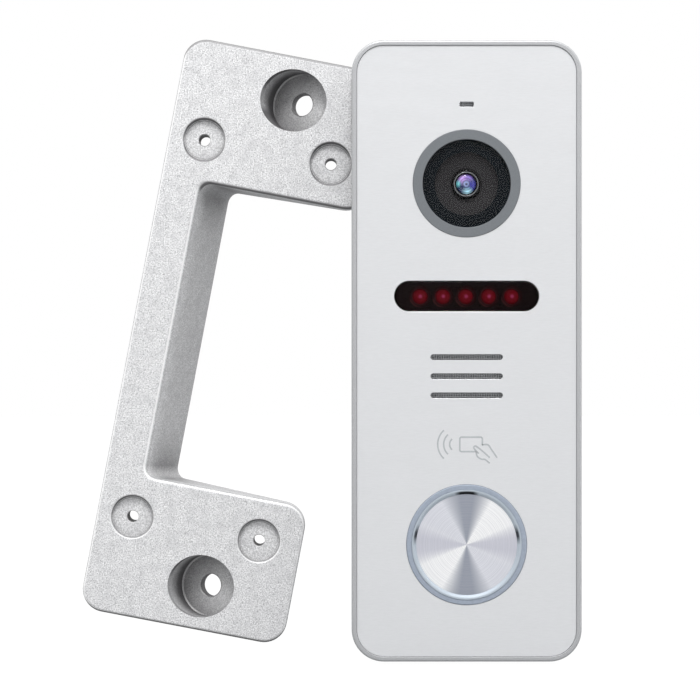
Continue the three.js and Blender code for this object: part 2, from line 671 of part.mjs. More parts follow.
part('ir_window', irWindow(), darkGlass());
part('ir_led_shroud', irShroud(), blackPlastic());
ledPlaces().forEach((x, i) => part(`ir_led_${i + 1}`, irLed(x), material('#8c0a1e', 0.2, 0)));
part('ir_board', plateAt(IR_Z, IR_BOARD), boardGreen());

part('microphone', microphone(), material('#8e9194', 0.4, 0.9));
part('microphone_boot', microphoneBoot(), rubber());
part('speaker_frame', speakerFrame(), blackPlastic());
part('speaker_cone', speakerCone(), material('#2b2b2d', 0.8, 0));
part('speaker_magnet', disc(SPEAKER_MAGNET.radius, SPEAKER_MAGNET.back, SPEAKER_MAGNET.front, PLAIN, 0,
  SPEAKER_Z),
  material('#8a8d90', 0.4, 0.9));
part('speaker_gasket', ring(SPEAKER_GASKET.inner, SPEAKER_GASKET.outer, SPEAKER_GASKET.back,
  SPEAKER_GASKET.front,
  PLAIN, 0, SPEAKER_Z), rubber());
part('speaker_mesh', speakerMesh(), material('#646668', 0.5, 0.6));

part('call_button', callButton(), material('#cfd0d4', 0.28, 1));
part('button_light_ring', facedRing(LIGHT_RING, BUTTON_Z), material('#9ba5b4', 0.35, 0));
part('button_base', buttonBase(), blackPlastic());
part('switch_body', switchBody(), blackPlastic());
part('switch_plunger', switchPlunger(), material('#c8a15a', 0.5, 0));

part('reader_coil', readerCoil(), material('#a4662c', 0.4, 0.8));
part('main_board', span(MAIN_BOARD), boardGreen());
part('cable_header', span(CABLE_HEADER), material('#e6e4da', 0.6, 0));

const bracket = part('wedge_bracket', wedgeBracket(), castMetal());
bracket.position.set(BRACKET_PLACE.x, BRACKET_PLACE.y, BRACKET_PLACE.z);
bracket.rotation.y = THREE.MathUtils.degToRad(BRACKET_PLACE.tilt);

export default group;
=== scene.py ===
import json
import math

import bmesh
import bpy
from mathutils import Matrix, Vector


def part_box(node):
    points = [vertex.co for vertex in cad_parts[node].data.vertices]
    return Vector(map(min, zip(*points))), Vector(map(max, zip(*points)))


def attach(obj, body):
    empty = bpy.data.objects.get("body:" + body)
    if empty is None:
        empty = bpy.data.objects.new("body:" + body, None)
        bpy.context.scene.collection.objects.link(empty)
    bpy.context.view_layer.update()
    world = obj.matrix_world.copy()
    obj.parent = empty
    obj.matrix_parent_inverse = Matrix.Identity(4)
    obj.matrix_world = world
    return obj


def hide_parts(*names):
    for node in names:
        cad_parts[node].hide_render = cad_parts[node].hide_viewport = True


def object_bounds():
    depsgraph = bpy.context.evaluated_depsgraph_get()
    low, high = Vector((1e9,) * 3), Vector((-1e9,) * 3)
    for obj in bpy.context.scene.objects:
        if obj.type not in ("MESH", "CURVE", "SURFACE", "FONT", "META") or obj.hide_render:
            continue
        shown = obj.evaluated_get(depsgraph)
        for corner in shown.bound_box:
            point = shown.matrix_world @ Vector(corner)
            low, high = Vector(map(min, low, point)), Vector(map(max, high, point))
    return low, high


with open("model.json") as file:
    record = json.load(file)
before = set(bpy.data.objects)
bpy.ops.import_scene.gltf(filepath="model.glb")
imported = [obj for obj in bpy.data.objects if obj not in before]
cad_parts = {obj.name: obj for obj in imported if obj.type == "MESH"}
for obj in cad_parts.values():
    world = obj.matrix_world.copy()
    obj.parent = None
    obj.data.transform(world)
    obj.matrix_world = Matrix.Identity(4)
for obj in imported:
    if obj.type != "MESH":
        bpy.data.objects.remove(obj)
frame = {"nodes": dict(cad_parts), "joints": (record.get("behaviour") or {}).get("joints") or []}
cad_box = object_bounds()
nodes = frame["nodes"]

# Lengths in this script are millimetres until a mesh is made. x is to the right, z is up, and a depth
# is the distance out from the wall plane, so a depth d lies at y = -d.
MM = 0.001
QUARTER = math.pi / 2
TURN = 2 * math.pi


# ---------------------------------------------------------------- places, read from the frame
class Span:
    """Where a CAD node is: its middle, half sizes, and its back and front depth, in millimetres."""

    def __init__(self, node):
        low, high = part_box(node)
        self.x = (low.x + high.x) / 2 / MM
        self.z = (low.z + high.z) / 2 / MM
        self.half_width = (high.x - low.x) / 2 / MM
        self.half_height = (high.z - low.z) / 2 / MM
        self.back = -high.y / MM
        self.front = -low.y / MM
        self.low_z = low.z / MM
        self.high_z = high.z / MM

    @property
    def radius(self):
        return self.half_width


# ---------------------------------------------------------------- outlines, as (x, z) points
def arc(x, z, radius, start, end, steps):
    turn = (end - start) / steps
    angles = [start + turn * i for i in range(steps + 1)]
    return [(x + radius * math.cos(a), z + radius * math.sin(a)) for a in angles]


def circle(radius, x=0, z=0, steps=96):
    return arc(x, z, radius, 0, TURN, steps)[:-1]


def rounded(half_width, half_height, radius, x=0, z=0, steps=12):
    right, top = half_width - radius, half_height - radius
    corners = [(right, top), (-right, top), (-right, -top), (right, -top)]
    points = []
    for i, (cx, cz) in enumerate(corners):
        points += arc(x + cx, z + cz, radius, i * QUARTER, (i + 1) * QUARTER, steps)
    return points


def pill(half_width, half_height, x=0, z=0, steps=16):
    return rounded(half_width, half_height, half_height * 0.999, x, z, steps)


# ---------------------------------------------------------------- profiles, as (radius, depth) points
def rod(radius, back, front):
    """A plain round rod, from axis to axis."""
    return [(0, back), (radius, back), (radius, front), (0, front)]


def tube(inner, outer, back, front):
    """A plain round tube, as a loop."""
    return [(inner, back), (outer, back), (outer, front), (inner, front)]


# ---------------------------------------------------------------- meshes
def new_object(name, points, faces):
    mesh = bpy.data.meshes.new(name)
    mesh.from_pydata([(x * MM, y * MM, z * MM) for x, y, z in points], [], faces)
    work = bmesh.new()
    work.from_mesh(mesh)
    bmesh.ops.remove_doubles(work, verts=work.verts, dist=1e-7)
    bmesh.ops.recalc_face_normals(work, faces=work.faces)
    work.to_mesh(mesh)
    work.free()
    obj = bpy.data.objects.new(name, mesh)
    bpy.context.scene.collection.objects.link(obj)
    return obj


def loft(name, rings, closed=False):
    """A skin over rings of (x, y, z) points with equal counts. Its ends are flat, or join each other."""
    count = len(rings[0])
    points = [p for ring in rings for p in ring]
    faces = []
    pairs = list(zip(range(len(rings) - 1), range(1, len(rings))))
    if closed:
        pairs.append((len(rings) - 1, 0))
    else:
        faces.append(list(range(count)))
        faces.append([(len(rings) - 1) * count + i for i in range(count)])
    for a, b in pairs:
        for i in range(count):
            j = (i + 1) % count
            faces.append([a * count + i, a * count + j, b * count + j, b * count + i])
    return new_object(name, points, faces)


def prism(name, outline, back, front):
    return loft(name, [[(x, -d, z) for x, z in outline] for d in (back, front)])


def block(name, x0, x1, z0, z1, back, front):
    return prism(name, [(x0, z0), (x1, z0), (x1, z1), (x0, z1)], back, front)


def eased(profile, radius, steps=3):
    """The profile with each inner corner rounded off, so that no edge is razor sharp."""
    points = [profile[0]]
    for before, here, after in zip(profile, profile[1:], profile[2:]):
        p, a, b = Vector(here), Vector(before), Vector(after)
        to_a, to_b = a - p, b - p
        reach = min(radius, to_a.length * 0.45, to_b.length * 0.45)
        if reach < 1e-4:
            points.append(here)
            continue
        start, end = p + to_a.normalized() * reach, p + to_b.normalized() * reach
        for i in range(steps + 1):
            t = i / steps
            points.append(tuple(start * (1 - t) ** 2 + p * 2 * t * (1 - t) + end * t ** 2))
    points.append(profile[-1])
    return points


def loft_strip(name, rings):
    """A skin over rings that run from axis to axis, joined all the way round."""
    count = len(rings[0])
    points = [p for ring in rings for p in ring]
    faces = []
    for i in range(len(rings)):
        j = (i + 1) % len(rings)
        for k in range(count - 1):
            faces.append([i * count + k, j * count + k, j * count + k + 1, i * count + k + 1])
    return new_object(name, points, faces)


def turned(name, profile, x=0, z=0, ease=0.12, steps=128):
    """A turned piece about an axis along y. The profile is (radius, depth) pairs, from axis to axis."""
    line = eased(profile, ease)
    angles = [TURN * i / steps for i in range(steps)]
    return loft_strip(name, [[(x + r * math.cos(a), -d, z + r * math.sin(a)) for r, d in line]
                             for a in angles])


def turned_ring(name, profile, x=0, z=0, ease=0.12, steps=128):
    """As turned, for a ring whose profile is a loop that stays clear of the axis."""
    loop = profile + [profile[0], profile[1]]
    line = eased(loop, ease)[1:-1]
    return turned(name, line + [line[0]], x, z, 0, steps)


def upright(name, profile, x, depth, ease=0.08, steps=64):
    """A turned piece about an axis straight up. The profile is (radius, z) pairs, from axis to axis."""
    line = eased(profile, ease)
    angles = [TURN * i / steps for i in range(steps)]
    return loft_strip(name, [[(x + r * math.cos(a), -depth + r * math.sin(a), z) for r, z in line]
                             for a in angles])


def applied(obj):
    """Puts what the modifiers make into the mesh itself."""
    graph = bpy.context.evaluated_depsgraph_get()
    mesh = bpy.data.meshes.new_from_object(obj.evaluated_get(graph))
    obj.modifiers.clear()
    old = obj.data
    obj.data = mesh
    bpy.data.meshes.remove(old)
    return obj


def boolean(obj, others, operation):
    for other in others:
        step = obj.modifiers.new("boolean", "BOOLEAN")
        step.operation = operation
        step.solver = "EXACT"
        step.object = other
        applied(obj)
        bpy.data.objects.remove(other)
    return obj


def cut(obj, *others):
    return boolean(obj, others, "DIFFERENCE")


def join(obj, *others):
    return boolean(obj, others, "UNION")


def soften(obj, width, segments=2, angle=35):
    step = obj.modifiers.new("edge", "BEVEL")
    step.width = width * MM
    step.segments = segments
    step.limit_method = "ANGLE"
    step.angle_limit = math.radians(angle)
    step.use_clamp_overlap = True
    step.miter_outer = "MITER_ARC"
    return applied(obj)


def smooth(obj, angle=40):
    obj.data.shade_smooth()
    obj.data.set_sharp_from_angle(angle=math.radians(angle))
    return obj


def finish_piece(obj, material, body, slot, *replaced, angle=40):
    smooth(obj, angle)
    flat = obj.modifiers.new("flat", "WEIGHTED_NORMAL")
    flat.keep_sharp = True
    flat.weight = 100
    obj.data.materials.clear()
    obj.data.materials.append(material)
    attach(obj, body)
    if replaced:
        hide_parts(*replaced)


# ---------------------------------------------------------------- sweeps
def headings(points, closed=False):
    """The way a path runs at each of its points."""
    count = len(points)
    ways = []
    for i, point in enumerate(points):
        before = points[i - 1] if i or closed else point
        after = points[(i + 1) % count] if i + 1 < count or closed else point
        ways.append((after - before).normalized())
    return ways


def wire(name, path, radius, steps=8, closed=False):
    """A round wire along a path of (x, y, z) points that keeps near one depth."""
    points = [Vector(p) for p in path]
    angles = [TURN * i / steps for i in range(steps)]
    rings = []
    for point, along in zip(points, headings(points, closed)):
        side = along.cross(Vector((0, 1, 0))).normalized()
        rise = side.cross(along).normalized()
        rings.append([tuple(point + side * (radius * math.cos(a)) + rise * (radius * math.sin(a)))
                      for a in angles])
    return loft(name, rings, closed)


def gathered(name, parts):
    """Several objects made into one mesh, each staying a closed body of its own."""
    work = bmesh.new()
    for part in parts:
        work.from_mesh(part.data)
        bpy.data.objects.remove(part)
    mesh = bpy.data.meshes.new(name)
    work.to_mesh(mesh)
    work.free()
    obj = bpy.data.objects.new(name, mesh)
    bpy.context.scene.collection.objects.link(obj)
    return obj


def quarter(radius, steps=5):
    """(inset, drop) pairs of a quarter round edge, from the side face over to the front face."""
    turns = [QUARTER * i / steps for i in range(steps + 1)]
    return [(radius * (1 - math.cos(a)), radius * (1 - math.sin(a))) for a in turns]


def eased_prism(name, outline, back, front, edge=0.3, back_edge=None):
    """A prism with rounded front and back edges. outline(inset) gives the outline drawn in by that much."""
    rings = []
    for inset, drop in reversed(quarter(back_edge if back_edge is not None else edge)):
        rings.append([(x, -(back + drop), z) for x, z in outline(inset)])
    for inset, drop in quarter(edge):
        rings.append([(x, -(front - drop), z) for x, z in outline(inset)])
    return loft(name, rings)


# ---------------------------------------------------------------- finishes
def linear(colour):
    """A colour given as 0 to 255 a channel, as a shader wants it."""
    shares = [c / 255 for c in colour]
    return tuple(((s + 0.055) / 1.055) ** 2.4 if s > 0.04 else s / 12.92 for s in shares) + (1.0,)


class Finish:
    """A node material being drawn: its shader, and short ways to add the usual nodes."""

    def __init__(self, slot, colour, metallic, roughness):
        self.material = bpy.data.materials.new(slot)
        self.material.use_nodes = True
        self.tree = self.material.node_tree
        self.shader = self.tree.nodes["Principled BSDF"]
        self.colour = colour
        self.set("Base Color", linear(colour))
        self.set("Metallic", metallic)
        self.set("Roughness", roughness)
        self.place = self.add("TexCoord").outputs["Object"]

    def set(self, socket, value):
        self.feed(self.shader.inputs[socket], value)

    def feed(self, socket, value):
        if isinstance(value, bpy.types.NodeSocket):
            self.tree.links.new(value, socket)
        else:
            socket.default_value = value

    def add(self, kind, inputs=None, **settings):
        node = self.tree.nodes.new("ShaderNode" + kind)
        for key, value in settings.items():
            setattr(node, key, value)
        for key, value in (inputs or {}).items():
            self.feed(node.inputs[key], value)
        return node

    def math(self, operation, a, b=0.0, c=0.0):
        return self.add("Math", {0: a, 1: b, 2: c}, operation=operation).outputs[0]

    def length(self, across, up):
        square = self.math("ADD", self.math("MULTIPLY", across, across), self.math("MULTIPLY", up, up))
        return self.math("SQRT", square)

    def around(self, x, z, radius=1.0):
        """How far across, up and away a point is from a middle, counted in radii."""
        split = self.add("SeparateXYZ", {0: self.place})
        across = self.math("DIVIDE", self.math("SUBTRACT", split.outputs["X"], x * MM), radius * MM)
        up = self.math("DIVIDE", self.math("SUBTRACT", split.outputs["Z"], z * MM), radius * MM)
        return across, up, self.length(across, up)

    def around_each(self, pitch, z):
        """How far across, up and away a point is, in millimetres, from the nearest of a row of middles."""
        split = self.add("SeparateXYZ", {0: self.place})
        across = self.math("WRAP", self.math("DIVIDE", split.outputs["X"], MM), pitch / 2, -pitch / 2)
        up = self.math("SUBTRACT", self.math("DIVIDE", split.outputs["Z"], MM), z)
        return across, up, self.length(across, up)

    def openness(self, reach):
        """One where nothing stands within reach, in millimetres, and less in a hollow or crease."""
        inputs = {"Distance": reach * MM}
        return self.add("AmbientOcclusion", inputs, samples=8, only_local=True).outputs["AO"]

    def noise(self, size, stretch=(1, 1, 1), detail=2):
        """Noise with blobs about size millimetres across. A stretch under 1 draws them out that way."""
        place = self.add("Mapping", {"Vector": self.place, "Scale": stretch}).outputs["Vector"]
        node = self.add("TexNoise", {"Vector": place, "Scale": 1 / (size * MM), "Detail": detail})
        return node.outputs[0]

    def span(self, source, low, high, low_at=0.3, high_at=0.7):
        inputs = {"Value": source, "From Min": low_at, "From Max": high_at, "To Min": low, "To Max": high}
        return self.add("MapRange", inputs).outputs["Result"]

    def blend(self, share, first, second):
        """Between two colours, or sockets that carry a colour."""
        node = self.add("Mix", {0: share}, data_type="RGBA")
        for socket, value in ((node.inputs[6], first), (node.inputs[7], second)):
            self.feed(socket, value if isinstance(value, bpy.types.NodeSocket) else linear(value))
        return node.outputs[2]

    def mottle(self, source, amount):
        """The finish's own colour, a little darker and lighter by turns."""
        dark = [c * (1 - amount) for c in self.colour]
        light = [min(255, c * (1 + amount)) for c in self.colour]
        self.set("Base Color", self.blend(self.span(source, 0, 1), dark, light))

    def wear_and_sheen(self, source, low, high):
        self.set("Roughness", self.span(source, low, high))

    def bump(self, source, height, strength=1.0):
        node = self.add("Bump", {"Height": source, "Distance": height * MM, "Strength": strength})
        self.set("Normal", node.outputs["Normal"])


def plain_finish(slot, colour, metallic, roughness, grain=0.3, vary=0.05, height=0.01, stretch=(1, 1, 1),
                 skin=0.5):
    """A finish whose colour, gloss and surface all vary at the scale of its grain, in millimetres."""
    finish = Finish(slot, colour, metallic, roughness)
    finish.set("Specular IOR Level", skin)
    fine = finish.noise(grain, stretch)
    finish.mottle(fine, vary)
    finish.wear_and_sheen(finish.noise(grain * 6, stretch), roughness * 0.9, roughness * 1.12)
    finish.bump(fine, height)
    return finish.material


def cast_metal(middle, front):
    """Shot-blasted die casting: pale and pebbled, with dark specks. Over that lie a painted highlight along
    its rounded edges and painted shade along its top edge, under the mouths of its pits, on its steep sides
    and in its creases and hollows. Middle is a point of its face, and front is the way the face looks."""
    finish = Finish("cast_bracket", (222, 222, 223), 0.2, 0.55)
    cloud = finish.noise(2.4, detail=2)
    pebble = finish.noise(0.3, detail=4)
    speck = finish.noise(0.2, detail=2)
    base = finish.blend(finish.span(pebble, 0, 1, 0.38, 0.62), (202, 202, 203), (252, 252, 253))
    shaded = finish.blend(finish.span(cloud, 0, 0.4, 0.42, 0.7), base, (198, 198, 200))
    specked = finish.blend(finish.span(speck, 0, 0.8, 0.56, 0.7), shaded, (140, 140, 143))
    normal = finish.add("TexCoord").outputs["Normal"]
    toward = finish.add("VectorMath", {0: normal, 1: front}, operation="DOT_PRODUCT").outputs["Value"]
    facing = finish.math("ABSOLUTE", toward)
    # Painted highlight: a bright band where the rounded edges turn away from the face.
    lip = finish.span(finish.math("ABSOLUTE", finish.math("SUBTRACT", facing, 0.8)), 1, 0, 0.05, 0.14)
    painted_edge_highlight = finish.blend(lip, specked, (255, 255, 255))
    upward = finish.add("SeparateXYZ", {0: normal}).outputs["Z"]
    # Painted shade: a dark line along the upper edges, where the surface turns up.
    above = finish.span(finish.add("SeparateXYZ", {0: finish.place}).outputs["Z"], 0, 0.75, 0, 20 * MM)
    painted_top_edge_shade = finish.math("MULTIPLY", above, finish.span(upward, 0, 1, 0.12, 0.35))
    topped = finish.blend(painted_top_edge_shade, painted_edge_highlight, (88, 87, 89))
    step = finish.add("VectorMath", {0: finish.place, 1: middle}, operation="SUBTRACT").outputs["Vector"]
    height = finish.add("VectorMath", {0: step, 1: front}, operation="DOT_PRODUCT").outputs["Value"]
    # Painted shadow: dark just behind the face on surfaces that face down, as at the top of each pit's mouth.
    near = finish.span(height, 0, 0.8, -1.5 * MM, -1.2 * MM)
    under = finish.math("MULTIPLY", near, finish.span(upward, 1, 0, -0.6, -0.25))
    lined = finish.blend(under, topped, (60, 58, 60))
    # Painted shade on the steep sides just behind the face.
    rim = finish.span(height, 0.1, 0.6, -1.4 * MM, -0.7 * MM)
    painted_steep_side_shade = finish.math("MULTIPLY", rim, finish.span(facing, 1, 0, 0.1, 0.55))
    steep = finish.blend(painted_steep_side_shade, lined, (84, 82, 84))
    # Painted shade in the wells: deep, walled and closed-in places are darker.
    deep = finish.span(height, 1.25, 0.6, -5 * MM, -MM)
    walled = finish.span(facing, 1.0, 0.72, 0.4, 0.9)
    hollow = finish.math("MULTIPLY", deep, finish.span(finish.openness(12), 0.85, 0.25, 0.3, 0.97))
    shadowed = finish.blend(finish.math("MULTIPLY", hollow, walled), steep, (66, 64, 66))
    # Painted shade in the creases.
    crease = finish.span(finish.openness(0.8), 0.75, 0, 0.35, 0.8)
    finish.set("Base Color", finish.blend(crease, shadowed, (58, 56, 58)))
    finish.wear_and_sheen(pebble, 0.45, 0.65)
    finish.bump(finish.math("ADD", pebble, finish.math("MULTIPLY", speck, 0.6)), 0.07, 0.7)
    return finish.material


def spun_steel(x, z):
    """Steel faced in a lathe, with fine rings round the middle. The bright and dull fans that such rings
    spread are painted into its colour as painted highlights and shade, and its anisotropic gloss adds its
    own.
    """
    finish = Finish("button_steel", (214, 215, 219), 0.5, 0.36)
    across, up, away = finish.around(x, z)
    rings = finish.add("TexNoise", {"W": away, "Scale": 6, "Detail": 2}, noise_dimensions="1D").outputs[0]
    # Painted highlights and shade by the angle round the middle: bright fans on the diagonals, dark at top
    # and bottom, grey at the sides.
    reach = finish.math("ADD", away, 0.01)
    tilt = finish.math("DIVIDE", up, reach)
    steep = finish.math("MULTIPLY", tilt, tilt)
    diagonal = finish.math("MULTIPLY", tilt, finish.math("DIVIDE", across, reach))
    bright = finish.blend(finish.span(diagonal, 0, 1, -0.45, 0.4), (224, 225, 232), (255, 255, 255))
    upright = finish.blend(finish.span(steep, 0, 1, 0.74, 0.98), bright, (144, 149, 161))
    fans = finish.blend(finish.span(steep, 0.8, 0, 0.02, 0.17), upright, (198, 198, 210))
    finish.set("Base Color", finish.blend(finish.span(rings, 0, 0.4), fans, (172, 174, 182)))
    finish.wear_and_sheen(rings, 0.32, 0.42)
    finish.bump(rings, 0.003, 0.4)
    finish.set("Anisotropic", 0.6)
    finish.set("Anisotropic Rotation", 0.25)
    finish.set("Tangent", finish.add("Tangent", direction_type="RADIAL", axis="Y").outputs[0])
    return finish.material


def polished_bevel(x, z):
    """The button's bright bevel, with painted dark reflections at its top and at both sides."""
    finish = Finish("polished_bevel", (178, 187, 196), 0.5, 0.58)
    _, up, away = finish.around(x, z)
    # Painted reflections: the inner bevel is dark at its top and at both sides.
    climb = finish.math("DIVIDE", up, away)
    beside = finish.math("ABSOLUTE", finish.math("SUBTRACT", climb, 0.2))
    inner = finish.span(away, 1, 0, 11.45, 11.75)
    painted_top_reflection = finish.math("MULTIPLY", inner, finish.span(climb, 0, 1, 0.972, 0.992))
    top = finish.blend(painted_top_reflection, (178, 187, 196), (8, 10, 16))
    sides = finish.math("MULTIPLY", inner, finish.span(beside, 0.95, 0, 0.04, 0.2))
    finish.set("Base Color", finish.blend(sides, top, (34, 38, 46)))
    finish.wear_and_sheen(finish.noise(0.4), 0.54, 0.62)
    finish.bump(finish.noise(0.3), 0.001)
    return finish.material


def clear_cover(slot, tint, haze):
    """A thin hard pane: what is behind shows through its tint, and its skin mirrors more at a slant."""
    finish = Finish(slot, tint, 0, 0.04)
    tree = finish.tree
    through = finish.add("BsdfTransparent", {"Color": linear(tint)}).outputs[0]
    smear = finish.span(finish.noise(4), haze, haze * 2.5)
    shine = finish.add("BsdfGlossy", {"Color": (1, 1, 1, 1), "Roughness": smear}).outputs[0]
    share = finish.add("Fresnel", {"IOR": 1.15}).outputs[0]
    mixed = finish.add("MixShader", {0: share, 1: through, 2: shine}).outputs[0]
    tree.nodes.remove(finish.shader)
    tree.links.new(mixed, tree.nodes["Material Output"].inputs["Surface"])
    return finish.material


# Painted reflections on the lens, each a soft spot.
LENS_GLINTS = (
    (0.0, 0.0, 1.4, (40, 44, 112)), (0.6, -0.1, 0.8, (50, 52, 160)), (-0.35, 0.55, 0.8, (190, 154, 230)),
    (0.3, 0.7, 0.5, (132, 106, 200)), (-0.6, -0.45, 0.6, (12, 44, 78)), (-0.86, 0.05, 0.44, (110, 206, 210)),
    (0.15, -0.82, 0.66, (176, 230, 248)), (0.0, 0.0, 0.55, (12, 14, 56)), (0.0, 0.03, 0.4, (170, 190, 244)),
    (0.03, 0.0, 0.22, (20, 20, 66)))


def lens_coating(x, z, radius):
    """A coated lens with painted reflections: deep blue, with violet, cyan and pale glints, each a soft spot:
    x, z, size, colour.
    """
    finish = Finish("lens_coated", (22, 24, 60), 0, 0.06)
    across, up, away = finish.around(x, z, radius)
    colour = (14, 14, 34)
    for spot_x, spot_z, size, tint in LENS_GLINTS:
        reach = finish.length(finish.math("SUBTRACT", across, spot_x), finish.math("SUBTRACT", up, spot_z))
        colour = finish.blend(finish.span(reach, 1, 0, size * 0.1, size), colour, tint)
    # Painted rings of reflection over the spots, and a darker rim.
    ripple = finish.math("SINE", finish.math("MULTIPLY", away, 24.0))
    ringed = finish.blend(finish.span(ripple, 0, 0.55, 0.2, 1.0), colour, (14, 14, 48))
    edged = finish.blend(finish.span(away, 0, 1, 0.93, 1.0), ringed, (10, 10, 16))
    finish.set("Base Color", edged)
    # The painted colours also glow faintly, though the lens is no lamp.
    finish.set("Emission Color", edged)
    finish.set("Emission Strength", 0.42)
    finish.wear_and_sheen(finish.noise(0.6), 0.03, 0.07)
    finish.set("Coat Weight", 1.0)
    finish.set("Coat Roughness", 0.03)
    return finish.material


def lamp_red(pitch, z, radius):
    """The dark red resin of an infra-red lamp, darker towards its edge, with a painted highlight in its
    pinker middle, which glows with the lamp.
    """
    finish = Finish("led_red", (150, 12, 34), 0, 0.12)
    _, _, away = finish.around_each(pitch, z)
    body = finish.blend(finish.span(away, 0, 1, radius * 0.6, radius), (160, 14, 42), (70, 5, 14))
    # Painted highlight: the pink middle over the chip, glowing along with the rest.
    glow = finish.blend(finish.span(away, 1, 0, 0.05, radius * 0.3), body, (240, 120, 190))
    finish.set("Base Color", glow)
    finish.set("Emission Color", glow)
    finish.set("Emission Strength", 0.62)
    finish.wear_and_sheen(finish.noise(0.5), 0.08, 0.16)
    return finish.material


def lamp_cup_black(pitch, z):
    """The lamps' black holder. Each of its five cups has a painted highlight, a thin bright arc at the lower
    left of its mouth.
    """
    finish = Finish("lamp_holder_black", (22, 20, 20), 0, 0.3)
    across, up, away = finish.around_each(pitch, z)
    # Painted highlight: a thin bright arc at the lower left of each cup's mouth.
    mouth = finish.span(finish.math("ABSOLUTE", finish.math("SUBTRACT", away, 2.34)), 1, 0, 0.02, 0.09)
    lower_left = finish.span(finish.math("ADD", across, up), 1, 0, -3.2, -2.2)
    sideways = finish.math("ABSOLUTE", finish.add("SeparateXYZ", {0: finish.place}).outputs["X"])
    beside_lamps = finish.span(sideways, 1, 0, 2.48 * pitch * MM, 2.52 * pitch * MM)
    wear_and_sheen = finish.math("MULTIPLY", finish.math("MULTIPLY", mouth, lower_left), beside_lamps)
    finish.set("Base Color", finish.blend(wear_and_sheen, (22, 20, 20), (196, 150, 146)))
    finish.wear_and_sheen(finish.noise(0.5), 0.26, 0.34)
    return finish.material


def board_finish():
    """Solder mask with faint tracks under it."""
    finish = Finish("board_green", (26, 88, 56), 0, 0.4)
    tracks = finish.add("TexVoronoi", {"Vector": finish.place, "Scale": 1 / (2.4 * MM)},
                        distance="CHEBYCHEV", feature="DISTANCE_TO_EDGE").outputs[0]
    line = finish.span(tracks, 1, 0, 0.03, 0.07)
    finish.set("Base Color", finish.blend(line, (22, 76, 48), (48, 122, 78)))
    finish.wear_and_sheen(finish.noise(1.5), 0.32, 0.45)
    finish.bump(line, 0.03)
    return finish.material


# ---------------------------------------------------------------- the finishes, one for each slot
def bracket_place():
    """From the flat frame of its plate screws to where it lies: its joint, wound back from the seat."""
    joint = next(j for j in frame["joints"] if j["name"] == "bracket_to_seat")
    turn = Matrix.Rotation(-math.radians(joint["range_deg"][1]), 4, Vector(joint["axis"]))
    pivot = Vector(joint["pos_m"])
    seat = Vector((0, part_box("wedge_bracket")[0].y, 0))
    return Matrix.Translation(pivot + seat) @ turn @ Matrix.Translation(-pivot)


camera_at = Span("lens_glass")
lamps_at = Span("ir_window")
button_at = Span("call_button")
lamp_pitch = Span("ir_led_2").x - Span("ir_led_1").x
bracket_at = bracket_place()

# colour, metallic, roughness, grain, vary, height, and where needed stretch and skin, as in plain_finish
PLAIN_FINISHES = {
    "anodised_frame": ((180, 181, 183), 0.6, 0.5, 0.25, 0.03, 0.006),
    "brushed_face": ((221, 222, 224), 0.5, 0.36, 0.16, 0.008, 0.0015, (0.12, 1, 1)),
    "zinc_plate": ((182, 187, 192), 0.9, 0.38, 2.2, 0.08, 0.01),
    "screw_steel": ((178, 180, 184), 1.0, 0.3, 0.2, 0.06, 0.004),
    "cover_plastic": ((60, 62, 66), 0, 0.55, 0.22, 0.06, 0.03),
    "seal_rubber": ((36, 37, 39), 0, 0.8, 0.3, 0.1, 0.02),
    "camera_trim": ((114, 118, 122), 0.3, 0.42, 0.2, 0.03, 0.004),
    "lens_black": ((30, 31, 33), 0, 0.45, 0.3, 0.12, 0.01),
    "connector_cream": ((228, 224, 210), 0, 0.5, 0.4, 0.03, 0.01),
    "silver_can": ((168, 171, 175), 0.95, 0.36, 0.3, 0.05, 0.005),
    "mesh_grey": ((178, 179, 181), 0.3, 0.45, 0.15, 0.12, 0.01),
    "speaker_black": ((34, 34, 36), 0, 0.6, 0.25, 0.14, 0.02),
    "light_ring": ((148, 157, 171), 0.1, 0.34, 0.8, 0.03, 0.004),
    "switch_plastic": ((44, 45, 48), 0, 0.5, 0.3, 0.08, 0.015),
    "plunger_tan": ((203, 166, 98), 0, 0.45, 0.3, 0.05, 0.01),
    "coil_copper": ((184, 112, 62), 0.95, 0.3, 0.3, 0.08, 0.005),
    "border_black": ((12, 20, 26), 0, 0.5, 0.4, 0.05, 0.002, (1, 1, 1), 0.1),
    "sign_grey": ((170, 173, 176), 0, 0.5, 0.3, 0.03, 0.002),
    "dish_grey": ((52, 51, 53), 0, 0.6, 0.25, 0.06, 0.01, (1, 1, 1), 0.1),
    "lens_gloss": ((9, 9, 11), 0, 0.14, 0.3, 0.1, 0.002),
}
finishes = {look: plain_finish(look, *values) for look, values in PLAIN_FINISHES.items()}
finishes["cast_bracket"] = cast_metal(bracket_at.translation, bracket_at.to_3x3() @ Vector((0, -1, 0)))
finishes["window_glass"] = clear_cover("window_glass", (250, 250, 250), 0.02)
finishes["lens_coated"] = lens_coating(camera_at.x, camera_at.z, camera_at.radius)
finishes["ir_window_dark"] = clear_cover("ir_window_dark", (196, 176, 178), 0.03)
finishes["led_red"] = lamp_red(lamp_pitch, lamps_at.z, Span("ir_led_1").radius)
finishes["lamp_holder_black"] = lamp_cup_black(lamp_pitch, lamps_at.z)
finishes["board_green"] = board_finish()
finishes["button_steel"] = spun_steel(button_at.x, button_at.z)
finishes["polished_bevel"] = polished_bevel(button_at.x, button_at.z)

# Finishes that aren't a slot of their own, and the slot named for each.
SLOT_OF = {"border_black": "lens_black", "sign_grey": "brushed_face", "polished_bevel": "button_steel",
           "dish_grey": "lens_black", "lens_gloss": "lens_black", "lamp_holder_black": "lens_black"}


def make(obj, look, body, *replaced, angle=40):
    """A whole piece: its finish, the body it rides, and the CAD nodes that it replaces."""
    finish_piece(obj, finishes[look], body, SLOT_OF.get(look, look), *replaced, angle=angle)


